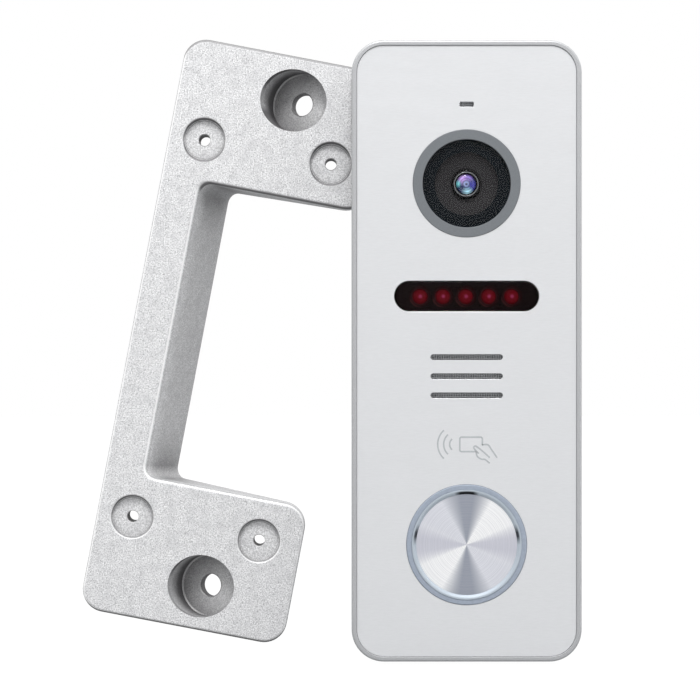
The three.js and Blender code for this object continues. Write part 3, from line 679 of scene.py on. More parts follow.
def dress(node, slot):
    """A CAD node that keeps its own mesh gets its finish."""
    nodes[node].data.materials.clear()
    nodes[node].data.materials.append(finishes[slot])


# ---------------------------------------------------------------- the case
CORNER = 7            # of the housing, seen from the front
RIM = 1.1             # bare edge round the face plate
MOUTH_EDGE = 0.1      # how round the rim's inner edge is
FACE_GAP = 0.04       # between the rim and the face plate
WALL = 2
PAST = 40             # well past the sides of a piece that is cut
BELOW = -90           # well below the case
BAY = {"from": 57, "front": 13.5, "plate": 1.6}    # hollows past the cover, and one for the wall plate
LIP = {"half_width": 20, "bottom": 63.2, "back": 1.6, "front": 3.6}    # where the plate's hooks catch
POST = {"radius": 2.4, "pilot": 1.45, "pilot_front": 13}
PLATE_SCREW = {"u": 14.6, "v": 43.5, "boss": 3.6, "boss_depth": 7}    # from the wall plate into the bracket
LOCK = {"boss": 3.4, "bore": 1.8, "head_bore": 2.8, "seat": 3, "short_of_tab": 0.6}
case_at = Span("housing")
face_at = Span("face_plate")
cover_at = Span("rear_cover")
seal_at = Span("rear_gasket")
posts = [Span(f"cover_screw_{i}") for i in range(1, 5)]
lock_at = Span("lock_screw")
lock_depth = (lock_at.back + lock_at.front) / 2
tab_bottom = lock_at.high_z + 0.5


def case_outline(inset):
    return rounded(case_at.half_width - inset, case_at.half_height - inset, CORNER - inset, steps=20)


def case_mouth():
    """The cutter for the face plate's recess, flared so that the rim's inner edge is round."""
    rings = [(RIM, face_at.back - 0.1)]
    rings += [(RIM - inset, case_at.front - drop) for inset, drop in quarter(MOUTH_EDGE)]
    rings.append((RIM - MOUTH_EDGE, case_at.front + 1))
    return loft("mouth", [[(x, -d, z) for x, z in case_outline(inset)] for inset, d in rings])


def make_housing():
    chamber_width = seal_at.half_width - 0.8
    chamber_height = seal_at.half_height - 0.9
    ledge = seal_at.front + 0.05
    floor = face_at.back - 0.1
    inside, end = case_at.half_width - WALL, case_at.half_height - WALL
    body = eased_prism("case_shell", case_outline, case_at.back, case_at.front, 0.5, 0.3)
    bay = rounded(inside, end, CORNER - WALL)
    middle = block("keep", -PAST, PAST, -BAY["from"], BAY["from"], -2, BAY["front"] + 0.5)
    cut(body,
        case_mouth(),
        prism("chamber", rounded(chamber_width, chamber_height, 2), ledge, case_at.front),
        prism("recess", rounded(cover_at.half_width + 0.1, cover_at.half_height + 0.1, 2), -1, ledge),
        cut(prism("bay", bay, -1, BAY["front"]), middle),
        prism("plate_bay", bay, -1, BAY["plate"]))
    lip = block("lip", -LIP["half_width"], LIP["half_width"], LIP["bottom"], end + 0.5,
                LIP["back"], LIP["front"])
    boss = upright("boss", rod(LOCK["boss"], -end - 0.5, tab_bottom - LOCK["short_of_tab"]),
                   lock_at.x, lock_depth)
    pillars = [turned("pillar", rod(POST["radius"], ledge + 0.3, floor), p.x, p.z, 0, 48) for p in posts]
    join(body, lip, boss, *pillars)
    bores = [upright("bore", rod(LOCK["bore"], BELOW, tab_bottom), lock_at.x, lock_depth),
             upright("bore", rod(LOCK["head_bore"], BELOW, lock_at.low_z + LOCK["seat"]),
                     lock_at.x, lock_depth)]
    pilots = [turned("pilot", rod(POST["pilot"], 0, POST["pilot_front"]), p.x, p.z, 0, 32) for p in posts]
    cut(body, *bores, *pilots)
    make(body, "anodised_frame", "panel", "housing", angle=28)


# ---------------------------------------------------------------- the face plate and its sign
def face_outline(inset):
    border = RIM + FACE_GAP + inset
    return rounded(case_at.half_width - border, case_at.half_height - border, CORNER - border, steps=20)


mic_slot_z = face_at.high_z - 12.5
speaker_at = Span("speaker_cone")
SLOT = {"half_width": 7.85, "half_height": 0.6, "pitch": 4.15}
MIC_SLOT = {"half_width": 1.55, "half_height": 0.55, "corner": 0.3}


def well(name, outline, edge):
    """A cutter right through the face plate, with its front edge eased."""
    rings = [(0, face_at.back - 1)]
    rings += [(-inset, face_at.front - drop) for inset, drop in quarter(edge, 3)]
    rings.append((-edge, face_at.front + 1))
    return loft(name, [[(x, -d, z) for x, z in outline(inset)] for inset, d in rings])


def round_well(at, edge):
    """An opening for a round piece, with a hairline round it."""
    return well("well", lambda i: circle(at.radius + 0.03 - i, at.x, at.z, 128), edge)


def pill_well(half_width, half_height, z, edge):
    return well("well", lambda i: pill(half_width - i, half_height - i, 0, z), edge)


def make_face_plate():
    mic = MIC_SLOT
    wells = [
        round_well(Span("camera_ring"), 0.03),
        round_well(Span("button_light_ring"), 0.05),
        pill_well(lamps_at.half_width + 0.15, lamps_at.half_height + 0.15, lamps_at.z, 0.14),
        well("well", lambda i: rounded(mic["half_width"] - i, mic["half_height"] - i,
                                       mic["corner"] - i * 0.5, 0, mic_slot_z), 0.08),
    ]
    for step in (-1, 0, 1):
        z = speaker_at.z + step * SLOT["pitch"]
        wells.append(pill_well(SLOT["half_width"], SLOT["half_height"], z, 0.1))
    plate = eased_prism("brushed_face", face_outline, face_at.back, face_at.front, 0.1, 0.1)
    make(cut(plate, *wells), "brushed_face", "panel", "face_plate", angle=30)


def ribbon(name, path, width):
    """A printed line along (x, z) points, standing a hair proud of the face."""
    points = [Vector(p) for p in path]
    low, high = face_at.front - 0.05, face_at.front + 0.03
    rings = []
    for point, along in zip(points, headings(points)):
        side = Vector((-along.y, along.x)) * width / 2
        a, b = point + side, point - side
        rings.append([(a.x, -low, a.y), (b.x, -low, b.y), (b.x, -high, b.y), (a.x, -high, a.y)])
    return loft(name, rings)


def curved(points, steps=8):
    """A smooth line through a few (x, z) points."""
    ends = [points[0]] + points + [points[-1]]
    line = []
    for a, b, c, d in zip(ends, ends[1:], ends[2:], ends[3:]):
        a, b, c, d = Vector(a), Vector(b), Vector(c), Vector(d)
        for i in range(steps):
            t = i / steps
            line.append(tuple(0.5 * (2 * b + (c - a) * t + (2 * a - 5 * b + 4 * c - d) * t ** 2
                                     + (3 * b - a - 3 * c + d) * t ** 3)))
    return line + [points[-1]]


def make_reader_sign():
    """The usual sign for a card reader: three waves, a card, and a simple hand that holds it."""
    line, z = 0.34, Span("reader_coil").z + 1.3
    spread = math.radians(47)
    waves = [ribbon("wave", arc(-2.1, z, radius, math.pi - spread, math.pi + spread, 24), line)
             for radius in (4.2, 2.9, 1.6)]
    edge = [(3.4, z - 0.2)]
    for i, (x, side) in enumerate(((3.0, 1), (-1.1, 1), (-1.1, -1))):
        edge += arc(x, z + side * 1.17, 0.4, i * QUARTER, (i + 1) * QUARTER, 6)
    card = ribbon("card", edge + [(1.9, z - 1.57)], line)
    thumb = [(5.0, z - 2.9), (3.6, z - 1.6), (2.2, z - 0.5), (1.7, z - 0.4), (1.6, z - 0.9), (2.6, z - 2.0)]
    back = [(3.3, z - 0.1), (4.6, z - 0.1), (5.5, z - 1.3), (6.6, z - 2.9)]
    fingers = [(2.0, z - 1.5), (2.3, z - 2.6), (3.2, z - 3.2), (4.0, z - 3.3), (5.0, z - 4.1)]
    hand = [ribbon("hand", curved(points), line) for points in (thumb, back, fingers)]
    make(gathered("reader_sign", waves + [card] + hand), "sign_grey", "panel")


# ---------------------------------------------------------------- the camera
CAMERA = {"border": 6.9, "dish_mouth": 7.5, "dish_steps": 8, "carrier": 7, "bore": 3.2, "chip": (3.2, 2.6)}


def make_camera_front():
    at, ring, pane = camera_at, Span("camera_ring"), Span("camera_window")
    out = ring.front
    inner = pane.radius + 0.03
    trim = [(inner, ring.back), (ring.radius, ring.back), (ring.radius, out - 0.4),
            (ring.radius - 0.08, out - 0.3), (pane.radius + 0.1, out - 0.3), (inner, out - 0.38)]
    make(turned_ring("camera_trim_ring", trim, at.x, at.z, 0.03, 160), "camera_trim", "panel", "camera_ring")

    glass = [(0, pane.back + 0.2), (pane.radius, pane.back + 0.2), (pane.radius, pane.front - 0.2),
             (pane.radius - 0.2, pane.front), (0, pane.front)]
    make(turned("camera_cover_glass", glass, at.x, at.z, 0.06, 160), "window_glass", "panel", "camera_window")
    print_ring = tube(CAMERA["border"], pane.radius, pane.back, pane.back + 0.12)
    border = turned_ring("camera_glass_border", print_ring, at.x, at.z, 0.02, 160)
    make(border, "border_black", "panel", "camera_window")


def make_lens_dish():
    """The dish in front of the lens, with fine steps that keep stray light down."""
    dish = Span("lens_baffle")
    neck = Span("lens_barrel").radius + 0.08
    mouth, steps = CAMERA["dish_mouth"], CAMERA["dish_steps"]
    wall = [(neck, dish.back), (dish.radius, dish.back), (dish.radius, dish.front), (mouth, dish.front)]
    for i in range(steps):
        r = mouth - 0.1 - (mouth - 0.4 - neck) * (i + 0.5) / steps
        d = dish.front - 0.15 - 0.75 * i / steps
        wall += [(r + 0.13, d), (r - 0.13, d - 0.04)]
    wall += [(neck + 0.12, dish.front - 1.0), (neck, dish.front - 1.15)]
    cone = turned_ring("lens_dish", wall, camera_at.x, camera_at.z, 0.03, 128)
    make(cone, "dish_grey", "panel", "lens_baffle")


def make_lens():
    at, barrel = camera_at, Span("lens_barrel")
    front = barrel.front
    mount = [(0, barrel.back), (barrel.radius, barrel.back), (barrel.radius, front - 0.35),
             (2.95, front - 0.12), (2.9, front), (2.72, front), (2.68, front - 0.14), (2.5, front - 0.14),
             (2.45, front - 0.02), (2.32, front - 0.08), (2.26, front - 0.9), (0, front - 0.9)]
    make(turned("lens_mount", mount, at.x, at.z, 0.03, 128), "lens_gloss", "panel", "lens_barrel")
    bead = turned_ring("lens_bead", tube(2.52, 2.66, front - 0.2, front - 0.04), at.x, at.z, 0.03, 128)
    make(bead, "silver_can", "panel", "lens_barrel")

    skirt = at.back + 0.08
    dome = [(0, at.back), (at.radius, at.back), (at.radius, skirt)]
    dome += [(at.radius * math.cos(a), skirt + (at.front - skirt) * math.sin(a))
             for a in [QUARTER * i / 12 for i in range(1, 12)]]
    dome.append((0, at.front))
    make(turned("front_lens", dome, at.x, at.z, 0, 96), "lens_coated", "panel", "lens_glass")


def make_camera_inside():
    at, holder, sensor = camera_at, Span("lens_holder"), Span("image_sensor")
    half = CAMERA["carrier"]
    body = eased_prism("lens_carrier", lambda i: rounded(half - i, half - i, 1 - i, at.x, at.z, 6),
                       holder.back, holder.front, 0.25)
    bore = turned("bore", rod(CAMERA["bore"], 9, 13), at.x, at.z, 0, 64)
    window = block("window", at.x - 4, at.x + 4, at.z - 4, at.z + 4, 9, 11)
    make(cut(body, bore, window), "lens_black", "panel", "lens_holder")
    wide, tall = CAMERA["chip"]
    chip = eased_prism("sensor_chip", lambda i: rounded(wide - i, tall - i, 0.2, sensor.x, sensor.z, 3),
                       sensor.back, sensor.front, 0.08)
    make(chip, "silver_can", "panel", "image_sensor")


# ---------------------------------------------------------------- the infra-red lamps
LAMP_CUP = {"hole": 1.75, "mouth": 2.25, "depth": 0.9}
LAMP_NECK = 1.5       # of the resin dome, above the lamp's flange


def make_lamps():
    at, holder = lamps_at, Span("ir_led_shroud")
    lamps = [Span(f"ir_led_{i}") for i in range(1, 6)]
    cover = eased_prism("lamp_cover", lambda i: pill(at.half_width - i, at.half_height - i, at.x, at.z, 24),
                        at.back, at.front, 0.22)
    make(cover, "ir_window_dark", "panel", "ir_window")

    hole, mouth, front = LAMP_CUP["hole"], LAMP_CUP["mouth"], holder.front
    bowl = [(0, holder.back - 1), (hole, holder.back - 1), (hole, front - LAMP_CUP["depth"]),
            (mouth, front + 0.01), (mouth, front + 1), (0, front + 1)]
    body = eased_prism("lamp_holder",
                       lambda i: pill(holder.half_width - i, holder.half_height - i, holder.x, holder.z, 20),
                       holder.back, front, 0.15)
    cups = [turned("cup", bowl, lamp.x, lamp.z, 0, 64) for lamp in lamps]
    make(cut(body, *cups), "lamp_holder_black", "panel", "ir_led_shroud")

    for i, lamp in enumerate(lamps, 1):
        back, rise = lamp.back, LAMP_NECK * 0.85
        shape = [(0, back), (lamp.radius - 0.25, back), (lamp.radius, back + 0.2), (lamp.radius, back + 0.8),
                 (LAMP_NECK, back + 0.85)]
        shape += [(LAMP_NECK * math.cos(a), lamp.front - rise + rise * math.sin(a))
                  for a in [QUARTER * k / 10 for k in range(10)]]
        dome = turned(f"infrared_lamp_{i}", shape + [(0, lamp.front)], lamp.x, lamp.z, 0, 64)
        make(dome, "led_red", "panel", f"ir_led_{i}")


# ---------------------------------------------------------------- sound
def woven(name, at_x, at_z, half_width, half_height, depth, pitch=0.52, gauge=0.13):
    """Crimped wires woven over and under each other."""
    columns, rows = round(2 * half_width / pitch), round(2 * half_height / pitch)
    wires = []
    for run, across, vertical in ((columns, rows, False), (rows, columns, True)):
        for j in range(across):
            side = (j - (across - 1) / 2) * pitch
            path = []
            for i in range(2 * run - 1):
                along = (i - (run - 1)) * pitch / 2
                wave = math.cos(math.pi * (i / 2 + j)) * gauge / 2 * (1 if vertical else -1)
                x, z = (side, along) if vertical else (along, side)
                path.append((at_x + x, wave - depth, at_z + z))
            wires.append(wire("wire", path, gauge, 6))
    return gathered(name, wires)


def make_screens():
    screen = Span("speaker_mesh")
    middle = (screen.back + screen.front) / 2
    mesh = woven("woven_dust_mesh", screen.x, screen.z, screen.half_width, screen.half_height, middle)
    make(mesh, "mesh_grey", "panel", "speaker_mesh")
    make(woven("microphone_screen", 0, mic_slot_z, 2.1, 1.0, middle + 0.05, 0.36, 0.1), "mesh_grey", "panel")


BASKET = {"throat": 5, "foot": 9, "lip": 8.9, "radius": 10.2, "vents": 6, "vent": 0.75, "vents_at": 7}


def make_speaker():
    cone, basket, magnet, pad = (Span(f"speaker_{part}") for part in ("cone", "frame", "magnet", "gasket"))
    x, z, back = cone.x, cone.z, cone.back
    ripples = [(8.6 - 0.3 * i, cone.front - 0.35 + 0.22 * math.sin(math.pi * (i % 3) / 1.5))
               for i in range(9)]
    cup = [(0, back + 0.6), (2, back + 0.4), (3.2, back), (8.5, back + 1.35), (8.7, cone.front)] + ripples
    cup += [(3.4, back + 0.75), (2.9, back + 1.0), (1.6, back + 1.35), (0, back + 1.5)]
    make(turned("speaker_diaphragm", cup, x, z, 0.1, 96), "speaker_black", "panel", "speaker_cone")

    throat, lip, radius, back = BASKET["throat"], BASKET["lip"], BASKET["radius"], basket.back
    rim = [(throat, back), (BASKET["foot"], back), (radius, back + 1.2), (radius, basket.front),
           (lip, basket.front), (lip, back + 1.7), (8.4, back + 0.8), (throat, back + 0.8)]
    frame_piece = turned_ring("speaker_basket", rim, x, z, 0.15, 96)
    start = TURN / (2 * BASKET["vents"])
    places = arc(x, z, BASKET["vents_at"], start, start + TURN, BASKET["vents"])[:-1]
    vents = [turned("vent", rod(BASKET["vent"], 9, 12), *place, 0, 24) for place in places]
    make(cut(frame_piece, *vents), "speaker_black", "panel", "speaker_frame")

    radius, back = magnet.radius, magnet.back
    can = [(0, back), (1.2, back), (1.4, back + 0.15), (radius - 0.3, back + 0.15), (radius, back + 0.45),
           (radius, magnet.front), (0, magnet.front)]
    make(turned("speaker_magnet_can", can, x, z, 0.12, 96), "silver_can", "panel", "speaker_magnet")
    foam = turned_ring("speaker_foam_ring", tube(lip, pad.radius, pad.back, pad.front), x, z, 0.25, 96)
    make(foam, "seal_rubber", "panel", "speaker_gasket")


def make_microphone():
    mic, boot = Span("microphone"), Span("microphone_boot")
    capsule = [(0, mic.back), (mic.radius, mic.back), (mic.radius, mic.front - 0.15),
               (mic.radius - 0.2, mic.front), (0.6, mic.front), (0.55, mic.front - 0.25),
               (0, mic.front - 0.25)]
    make(turned("microphone_capsule", capsule, mic.x, mic.z, 0.06, 64), "silver_can", "panel", "microphone")
    sleeve = [(2.1, boot.back), (boot.radius, boot.back), (boot.radius, boot.front - 0.3),
              (boot.radius - 0.15, boot.front), (2.1, boot.front)]
    make(turned_ring("microphone_sleeve", sleeve, boot.x, boot.z, 0.12, 64), "seal_rubber", "panel",
         "microphone_boot")


# ---------------------------------------------------------------- the call button
BUTTON = {"back": 13.9, "spun": 10.95, "dish": 0.45, "bevel": 11.94}    # dish is how far its face is sunk


def make_call_button():
    at, back, spun, edge = button_at, BUTTON["back"], BUTTON["spun"], BUTTON["bevel"]
    front = at.front
    dished = front - BUTTON["dish"]
    cap = [(0, back), (at.radius, back), (at.radius, dished - 0.1), (spun, dished)]
    cap += [(r, dished) for r in (9, 7, 5, 3, 1, 0)]
    disc = turned("call_button_cap", cap, at.x, at.z, 0, 192)
    pin = [(0, at.back), (1.9, at.back), (2.2, at.back + 0.3), (2.2, back + 0.5), (0, back + 0.5)]
    stem = turned("stem", pin, at.x, at.z, 0.08, 48)
    make(join(disc, stem), "button_steel", "call_button", "call_button", angle=30)
    bevel = [(spun, dished - 0.3), (edge, dished - 0.3), (edge, front - 0.04), (edge - 0.04, front),
             (11.6, front - 0.02), (11.4, front - 0.1), (spun + 0.02, dished + 0.02)]
    rim = turned_ring("button_bevel", bevel, at.x, at.z, 0.04, 192)
    make(rim, "polished_bevel", "call_button", "call_button")

    glow = Span("button_light_ring")
    top, hole = glow.front - 0.1, edge + 0.02
    band = [(11.68, glow.back), (glow.radius, glow.back), (glow.radius, top - 0.2), (glow.radius - 0.15, top),
            (12.0, top), (hole, top - 0.04), (hole, dished - 1.6), (11.68, dished - 1.8)]
    make(turned_ring("button_glow_ring", band, glow.x, glow.z, 0.06, 192), "light_ring", "panel",
         "button_light_ring")


def make_switch():
    base, switch, plunger = Span("button_base"), Span("switch_body"), Span("switch_plunger")
    back, front = base.back, base.front
    shape = [(7, back), (14, back), (15.2, back + 0.5), (15.2, front), (13.5, front), (13.5, front - 0.9),
             (11.8, front - 0.9), (11.8, back + 0.8), (7, back + 0.8)]
    holder = turned_ring("button_holder", shape, base.x, button_at.z, 0.12, 128)
    flats = block("flats", -PAST, PAST, base.low_z, base.high_z, 5, 30)
    make(boolean(holder, [flats], "INTERSECT"), "switch_plastic", "panel", "button_base")

    def shell(i):
        return rounded(switch.half_width - i, switch.half_height - i, 0.5 - i * 0.5, switch.x, switch.z, 5)

    body = eased_prism("push_switch", shell, switch.back, switch.front, 0.15)
    hole = turned("hole", rod(plunger.radius + 0.3, 9.3, 12), plunger.x, plunger.z, 0, 48)
    make(cut(body, hole), "switch_plastic", "panel", "switch_body")
    pin = turned("switch_button_pin", rod(plunger.radius, plunger.back, plunger.front),
                 plunger.x, plunger.z, 0.25, 48)
    make(pin, "plunger_tan", "switch_plunger", "switch_plunger")


# ---------------------------------------------------------------- the back
def cross_screw(name, at, head):
    """A pan-head screw whose head looks back at the wall, with a cross recess."""
    low = head - 1.3
    profile = [(0, low), (1.2, low), (1.9, low + 0.3), (2.2, low + 0.75), (2.2, head), (1.15, head),
               (1.15, at.front - 0.4), (0.9, at.front), (0, at.front)]
    screw = turned(name, profile, at.x, at.z, 0.1, 64)
    for half_x, half_z in ((1.15, 0.22), (0.22, 1.15)):
        cut(screw, block("cross", at.x - half_x, at.x + half_x, at.z - half_z, at.z + half_z,
                         low - 1, low + 0.7))
    return screw


def make_rear_cover():
    body = eased_prism("rear_lid", lambda i: rounded(cover_at.half_width - i, cover_at.half_height - i, 2 - i,
                                                     steps=8), cover_at.back, cover_at.front, 0.15, 0.3)
    grommet = Span("cable_grommet")
    holes = [turned("hole", rod(4.3, 0, 9), grommet.x, grommet.z, 0, 64)]
    holes += [turned("hole", rod(1.5, 0, 9), p.x, p.z, 0, 48) for p in posts]
    make(cut(body, *holes), "cover_plastic", "panel", "rear_cover")
    for i, p in enumerate(posts, 1):
        screw = cross_screw(f"rear_screw_{i}", p, cover_at.back - 0.1)
        make(screw, "screw_steel", "panel", f"cover_screw_{i}")

    middle = (seal_at.back + seal_at.front) / 2
    line = rounded(seal_at.half_width - 0.45, seal_at.half_height - 0.35, 1.6, steps=8)
    seal = wire("rear_seal", [(x, -middle, z) for x, z in line], (seal_at.front - seal_at.back) / 2, 12, True)
    make(seal, "seal_rubber", "panel", "rear_gasket")

    b, f = grommet.back, grommet.front
    boot = [(3.2, b), (5.3, b), (5.6, b + 0.35), (5.6, b + 1.45), (4.1, b + 1.55), (4.1, b + 3.15),
            (5.2, b + 3.25), (4.8, f), (3.2, f), (3.2, b + 2.6), (2.9, b + 2.2), (3.2, b + 1.8)]
    sleeve = turned_ring("cable_boot", boot, grommet.x, grommet.z, 0.12, 96)
    make(sleeve, "seal_rubber", "panel", "cable_grommet")


def make_lock_screw():
    """A screw in the bottom wall, drawn from its head up, with plain rings for its thread."""
    low, high, pitch = lock_at.low_z, lock_at.high_z, 0.5
    head = [(0, low), (2.2, low), (2.5, low + 0.25), (2.5, low + 1.2), (1.5, low + 1.2)]
    for i in range(int((high - low - 2.2) / pitch)):
        base = low + 1.5 + i * pitch
        head += [(1.5, base), (1.22, base + pitch * 0.5)]
    head += [(1.2, high - 0.3), (0.9, high), (0, high)]
    screw = upright("locking_screw", head, lock_at.x, lock_depth, 0.04, 48)
    socket = upright("socket", rod(1.1, low - 1, low + 0.7), lock_at.x, lock_depth, 0, 6)
    make(cut(screw, socket), "screw_steel", "lock_screw", "lock_screw")


def bent_strip(name, x0, x1, path, thickness, bend=0.9):
    """Sheet metal bent along a path of (depth, z) points, between two x."""
    line = [Vector(p) for p in eased(path, bend, 6)]
    outer, inner = [], []
    for i, point in enumerate(line):
        along = (line[min(i + 1, len(line) - 1)] - line[max(i - 1, 0)]).normalized()
        side = Vector((-along.y, along.x)) * thickness / 2
        outer.append(point + side)
        inner.append(point - side)
    section = outer + inner[::-1]
    return loft(name, [[(x, -p.x, p.y) for p in section] for x in (x0, x1)])


SHEET = {"half_width": 21, "half_height": 63, "thickness": 1.2, "hook_at": 61.2, "hook_end": 64.1,
         "hook_front": 5.4, "tab_at": -62.0}


def make_wall_plate():
    at, grommet = Span("mounting_plate"), Span("cable_grommet")
    thickness = SHEET["thickness"]
    sheet = eased_prism("wall_hook_plate",
                        lambda i: rounded(SHEET["half_width"] - i, SHEET["half_height"] - i, 4 - i, steps=12),
                        at.back, at.back + thickness, 0.12)
    outlines = [rounded(9, 13, 2, 0, grommet.z), rounded(7, 11, 2, 0, -22),
                pill(4.5, 2.3, 0, 52), pill(4.5, 2.3, 0, -50)]
    outlines += [circle(1.6, side * PLATE_SCREW["u"], end * PLATE_SCREW["v"], 48)
                 for side in (-1, 1) for end in (-1, 1)]
    cut(sheet, *[prism("hole", outline, -1, 3) for outline in outlines])
    soften(sheet, 0.1, 2, 50)
    front, hook_at, tab_at = SHEET["hook_front"], SHEET["hook_at"], SHEET["tab_at"]
    path = [(0.5, hook_at), (front, hook_at), (front, SHEET["hook_end"])]
    hooks = [bent_strip("hook", side * 12 - 4, side * 12 + 4, path, thickness) for side in (-1, 1)]
    tab = bent_strip("tab", -7, 7, [(0.5, tab_at), (at.front, tab_at)], thickness)
    bore = upright("bore", rod(LOCK["bore"], tab_at - 2, tab_at + 2), lock_at.x, lock_depth, 0, 48)
    join(sheet, *hooks, cut(tab, bore))
    make(sheet, "zinc_plate", "wall_plate", "mounting_plate", angle=30)


# ---------------------------------------------------------------- boards and the card reader's coil
def make_coil():
    at = Span("reader_coil")
    gauge, turns = 0.42, 5
    depth = -(at.back + at.front) / 2
    loops = []
    for i in range(turns):
        inset = gauge + i * gauge * 1.12
        outline = rounded(at.half_width - inset, at.half_height - inset, 3 - inset * 0.5, at.x, at.z, 8)
        loops.append(wire("turn", [(x, depth, z) for x, z in outline], gauge * 0.5, 8, True))
    make(gathered("reader_antenna", loops), "coil_copper", "panel", "reader_coil")


def chips(name, back, places, slot):
    """Small moulded parts on a board, each (x, z, half width, half height, height)."""
    parts = []
    for x, z, half_width, half_height, tall in places:
        corner = min(half_width, half_height) * 0.2
        shape = lambda i: rounded(half_width - i, half_height - i, corner, x, z, 4)
        parts.append(eased_prism("chip", shape, back, back + tall, min(0.15, tall * 0.2)))
    make(gathered(name, parts), slot, "panel")


def make_boards():
    for node in ("main_board", "camera_board", "ir_board"):
        dress(node, "board_green")
    level = Span("main_board").front + 0.02
    chips("main_board_chips", level, [(-8, -16, 3.6, 3.6, 1.0), (7, -20, 2.5, 3.0, 0.9),
                                      (9, 1, 2.0, 2.6, 1.0), (-10, 4, 1.6, 1.6, 0.8)], "lens_black")
    rows = [(x, -49 + 2.2 * j, 0.8, 0.42, 0.5) for x in (-14, -11.6, 11.6, 14) for j in range(4)]
    chips("main_board_small_parts", level, rows, "connector_cream")
    cans = []
    for x, z, radius in ((12.5, -12, 1.6), (12.5, 8, 2.0)):
        profile = [(0, level), (radius, level), (radius, level + 1.5), (radius - 0.2, level + 1.7),
                   (0, level + 1.7)]
        cans.append(turned("can", profile, x, z, 0.1, 48))
    make(gathered("main_board_capacitors", cans), "silver_can", "panel")

    header = Span("cable_header")
    body = eased_prism("cable_socket", lambda i: rounded(header.half_width - i, header.half_height - i, 0.3,
                                                         header.x, header.z, 3),
                       header.back, header.front, 0.12)
    slots = [block("slot", header.x + 2 * k - 0.7, header.x + 2 * k + 0.7, header.z - 1.2, header.z + 1.2,
                   header.front - 2.5, header.front + 1) for k in range(-3, 4)]
    make(cut(body, *slots), "connector_cream", "panel", "cable_header")


# ---------------------------------------------------------------- the wedge bracket
# Built flat as (u, v), with t behind its seat, then turned into place by its joint.
WEDGE = {"left": -22.7, "right": 24.3, "half_height": 66, "thick": 22, "thin": 4, "corner": 5.2, "spine": 8.8,
         "gap": 34, "inner_corner": 2.6, "wall": 2.4, "skin": 3, "rib": 1.6}
WALL_SCREW = {"u": 3.6, "v": 56, "hole": 2.55, "seat": 7.05, "seat_depth": 5.2, "web": 2.5, "boss": 9.3}
wedge_slope = (WEDGE["thick"] - WEDGE["thin"]) / (WEDGE["right"] - WEDGE["left"])
BEYOND = 60           # well past the bracket's back
SHORT = -15           # well in front of its seat


def wedge_outline(inset):
    """A square C as (u, v, lean). Lean is 1 along the spine's inner side, which slopes back, else 0."""
    left, right, top = WEDGE["left"] + inset, WEDGE["right"] - inset, WEDGE["half_height"] - inset
    inner, gap = WEDGE["left"] + WEDGE["spine"] - inset, WEDGE["gap"] + inset
    r, q = WEDGE["corner"] - inset, WEDGE["inner_corner"] + inset

    def corner(u, v, radius, start, end):
        return arc(u, v, radius, start * QUARTER, end * QUARTER, 10)

    outer = (corner(right - r, top - r, r, 0, 1) + corner(left + r, top - r, r, 1, 2)
             + corner(left + r, -top + r, r, 2, 3) + corner(right - r, -top + r, r, 3, 4))
    notch = corner(inner + q, -gap + q, q, 3, 2) + corner(inner + q, gap - q, q, 2, 1)
    lower_end, upper_end = corner(right - r, -gap - r, r, 0, 1), corner(right - r, gap + r, r, 3, 4)
    straight = [(u, v, 0) for u, v in outer + lower_end]
    return straight + [(u, v, 1) for u, v in notch] + [(u, v, 0) for u, v in upper_end]


def wedge_ring(inset, behind):
    """The outline at a distance behind the seat."""
    return [(u + wedge_slope * behind * lean, behind, v) for u, v, lean in wedge_outline(inset)]


def wedge_back_ring(inset, short):
    """The outline on the slanted back, or short of it."""
    ring = []
    for u, v, lean in wedge_outline(inset):
        behind = (WEDGE["thin"] + (WEDGE["right"] - u) * wedge_slope) / (1 + lean * wedge_slope ** 2) - short
        ring.append((u + wedge_slope * behind * lean, behind, v))
    return ring


def bar(u0, u1, v0, v1):
    return block("keep", u0, u1, v0, v1, -BEYOND, 0)


def behind_seat(profile, u, v, tipped=False):
    """A shape turned about an axis square to the seat, or tipped square to the slanted back."""
    tool = turned("tool", [(r, -t) for r, t in profile], 0, 0, 0, 128)
    tip = Matrix.Rotation(-math.atan(wedge_slope) if tipped else 0, 4, "Z")
    tool.data.transform(Matrix.Translation((u * MM, 0, v * MM)) @ tip)
    return tool


def bracket_pocket():
    """The hollow in the back, less the bosses and ribs that stand in it."""
    pocket = loft("pocket", [wedge_ring(WEDGE["wall"], WEDGE["skin"]), wedge_ring(WEDGE["wall"], BEYOND)])
    left, right, half = WEDGE["left"], WEDGE["right"], WEDGE["rib"] / 2
    arm = (WEDGE["half_height"] + WEDGE["gap"]) / 2
    boss, depth = PLATE_SCREW["boss"], PLATE_SCREW["boss_depth"]
    wall_boss, wall_back = WALL_SCREW["boss"], WALL_SCREW["seat_depth"] + WALL_SCREW["web"]
    keep = [bar(left, left + 2 * WEDGE["spine"], v - half, v + half) for v in (-17, 0, 17)]
    for side in (1, -1):
        keep.append(behind_seat(rod(wall_boss, SHORT, wall_back), WALL_SCREW["u"], side * WALL_SCREW["v"],
                                True))
        keep.append(bar(left, right, side * arm - half, side * arm + half))
        keep.append(bar(-9.5 - half, -9.5 + half, side * arm - 18, side * arm + 18))
        for u in (PLATE_SCREW["u"], -PLATE_SCREW["u"]):
            keep.append(behind_seat(rod(boss, 0, depth), u, side * PLATE_SCREW["v"]))
    return cut(pocket, *keep)


def plate_screw_pit(u, v):
    """A hole in a shallow pit that has a fine step round its floor and an eased mouth."""
    profile = [(0, BEYOND), (1.3, BEYOND), (1.3, 1.45), (1.45, 1.3), (4.3, 1.3), (4.4, 1.12), (4.6, 1.1),
               (4.65, 0.95), (4.7, 0.5), (4.78, 0.28), (4.95, 0.1), (5.2, 0), (5.2, -0.3), (0, -0.3)]
    return behind_seat(profile, u, v)


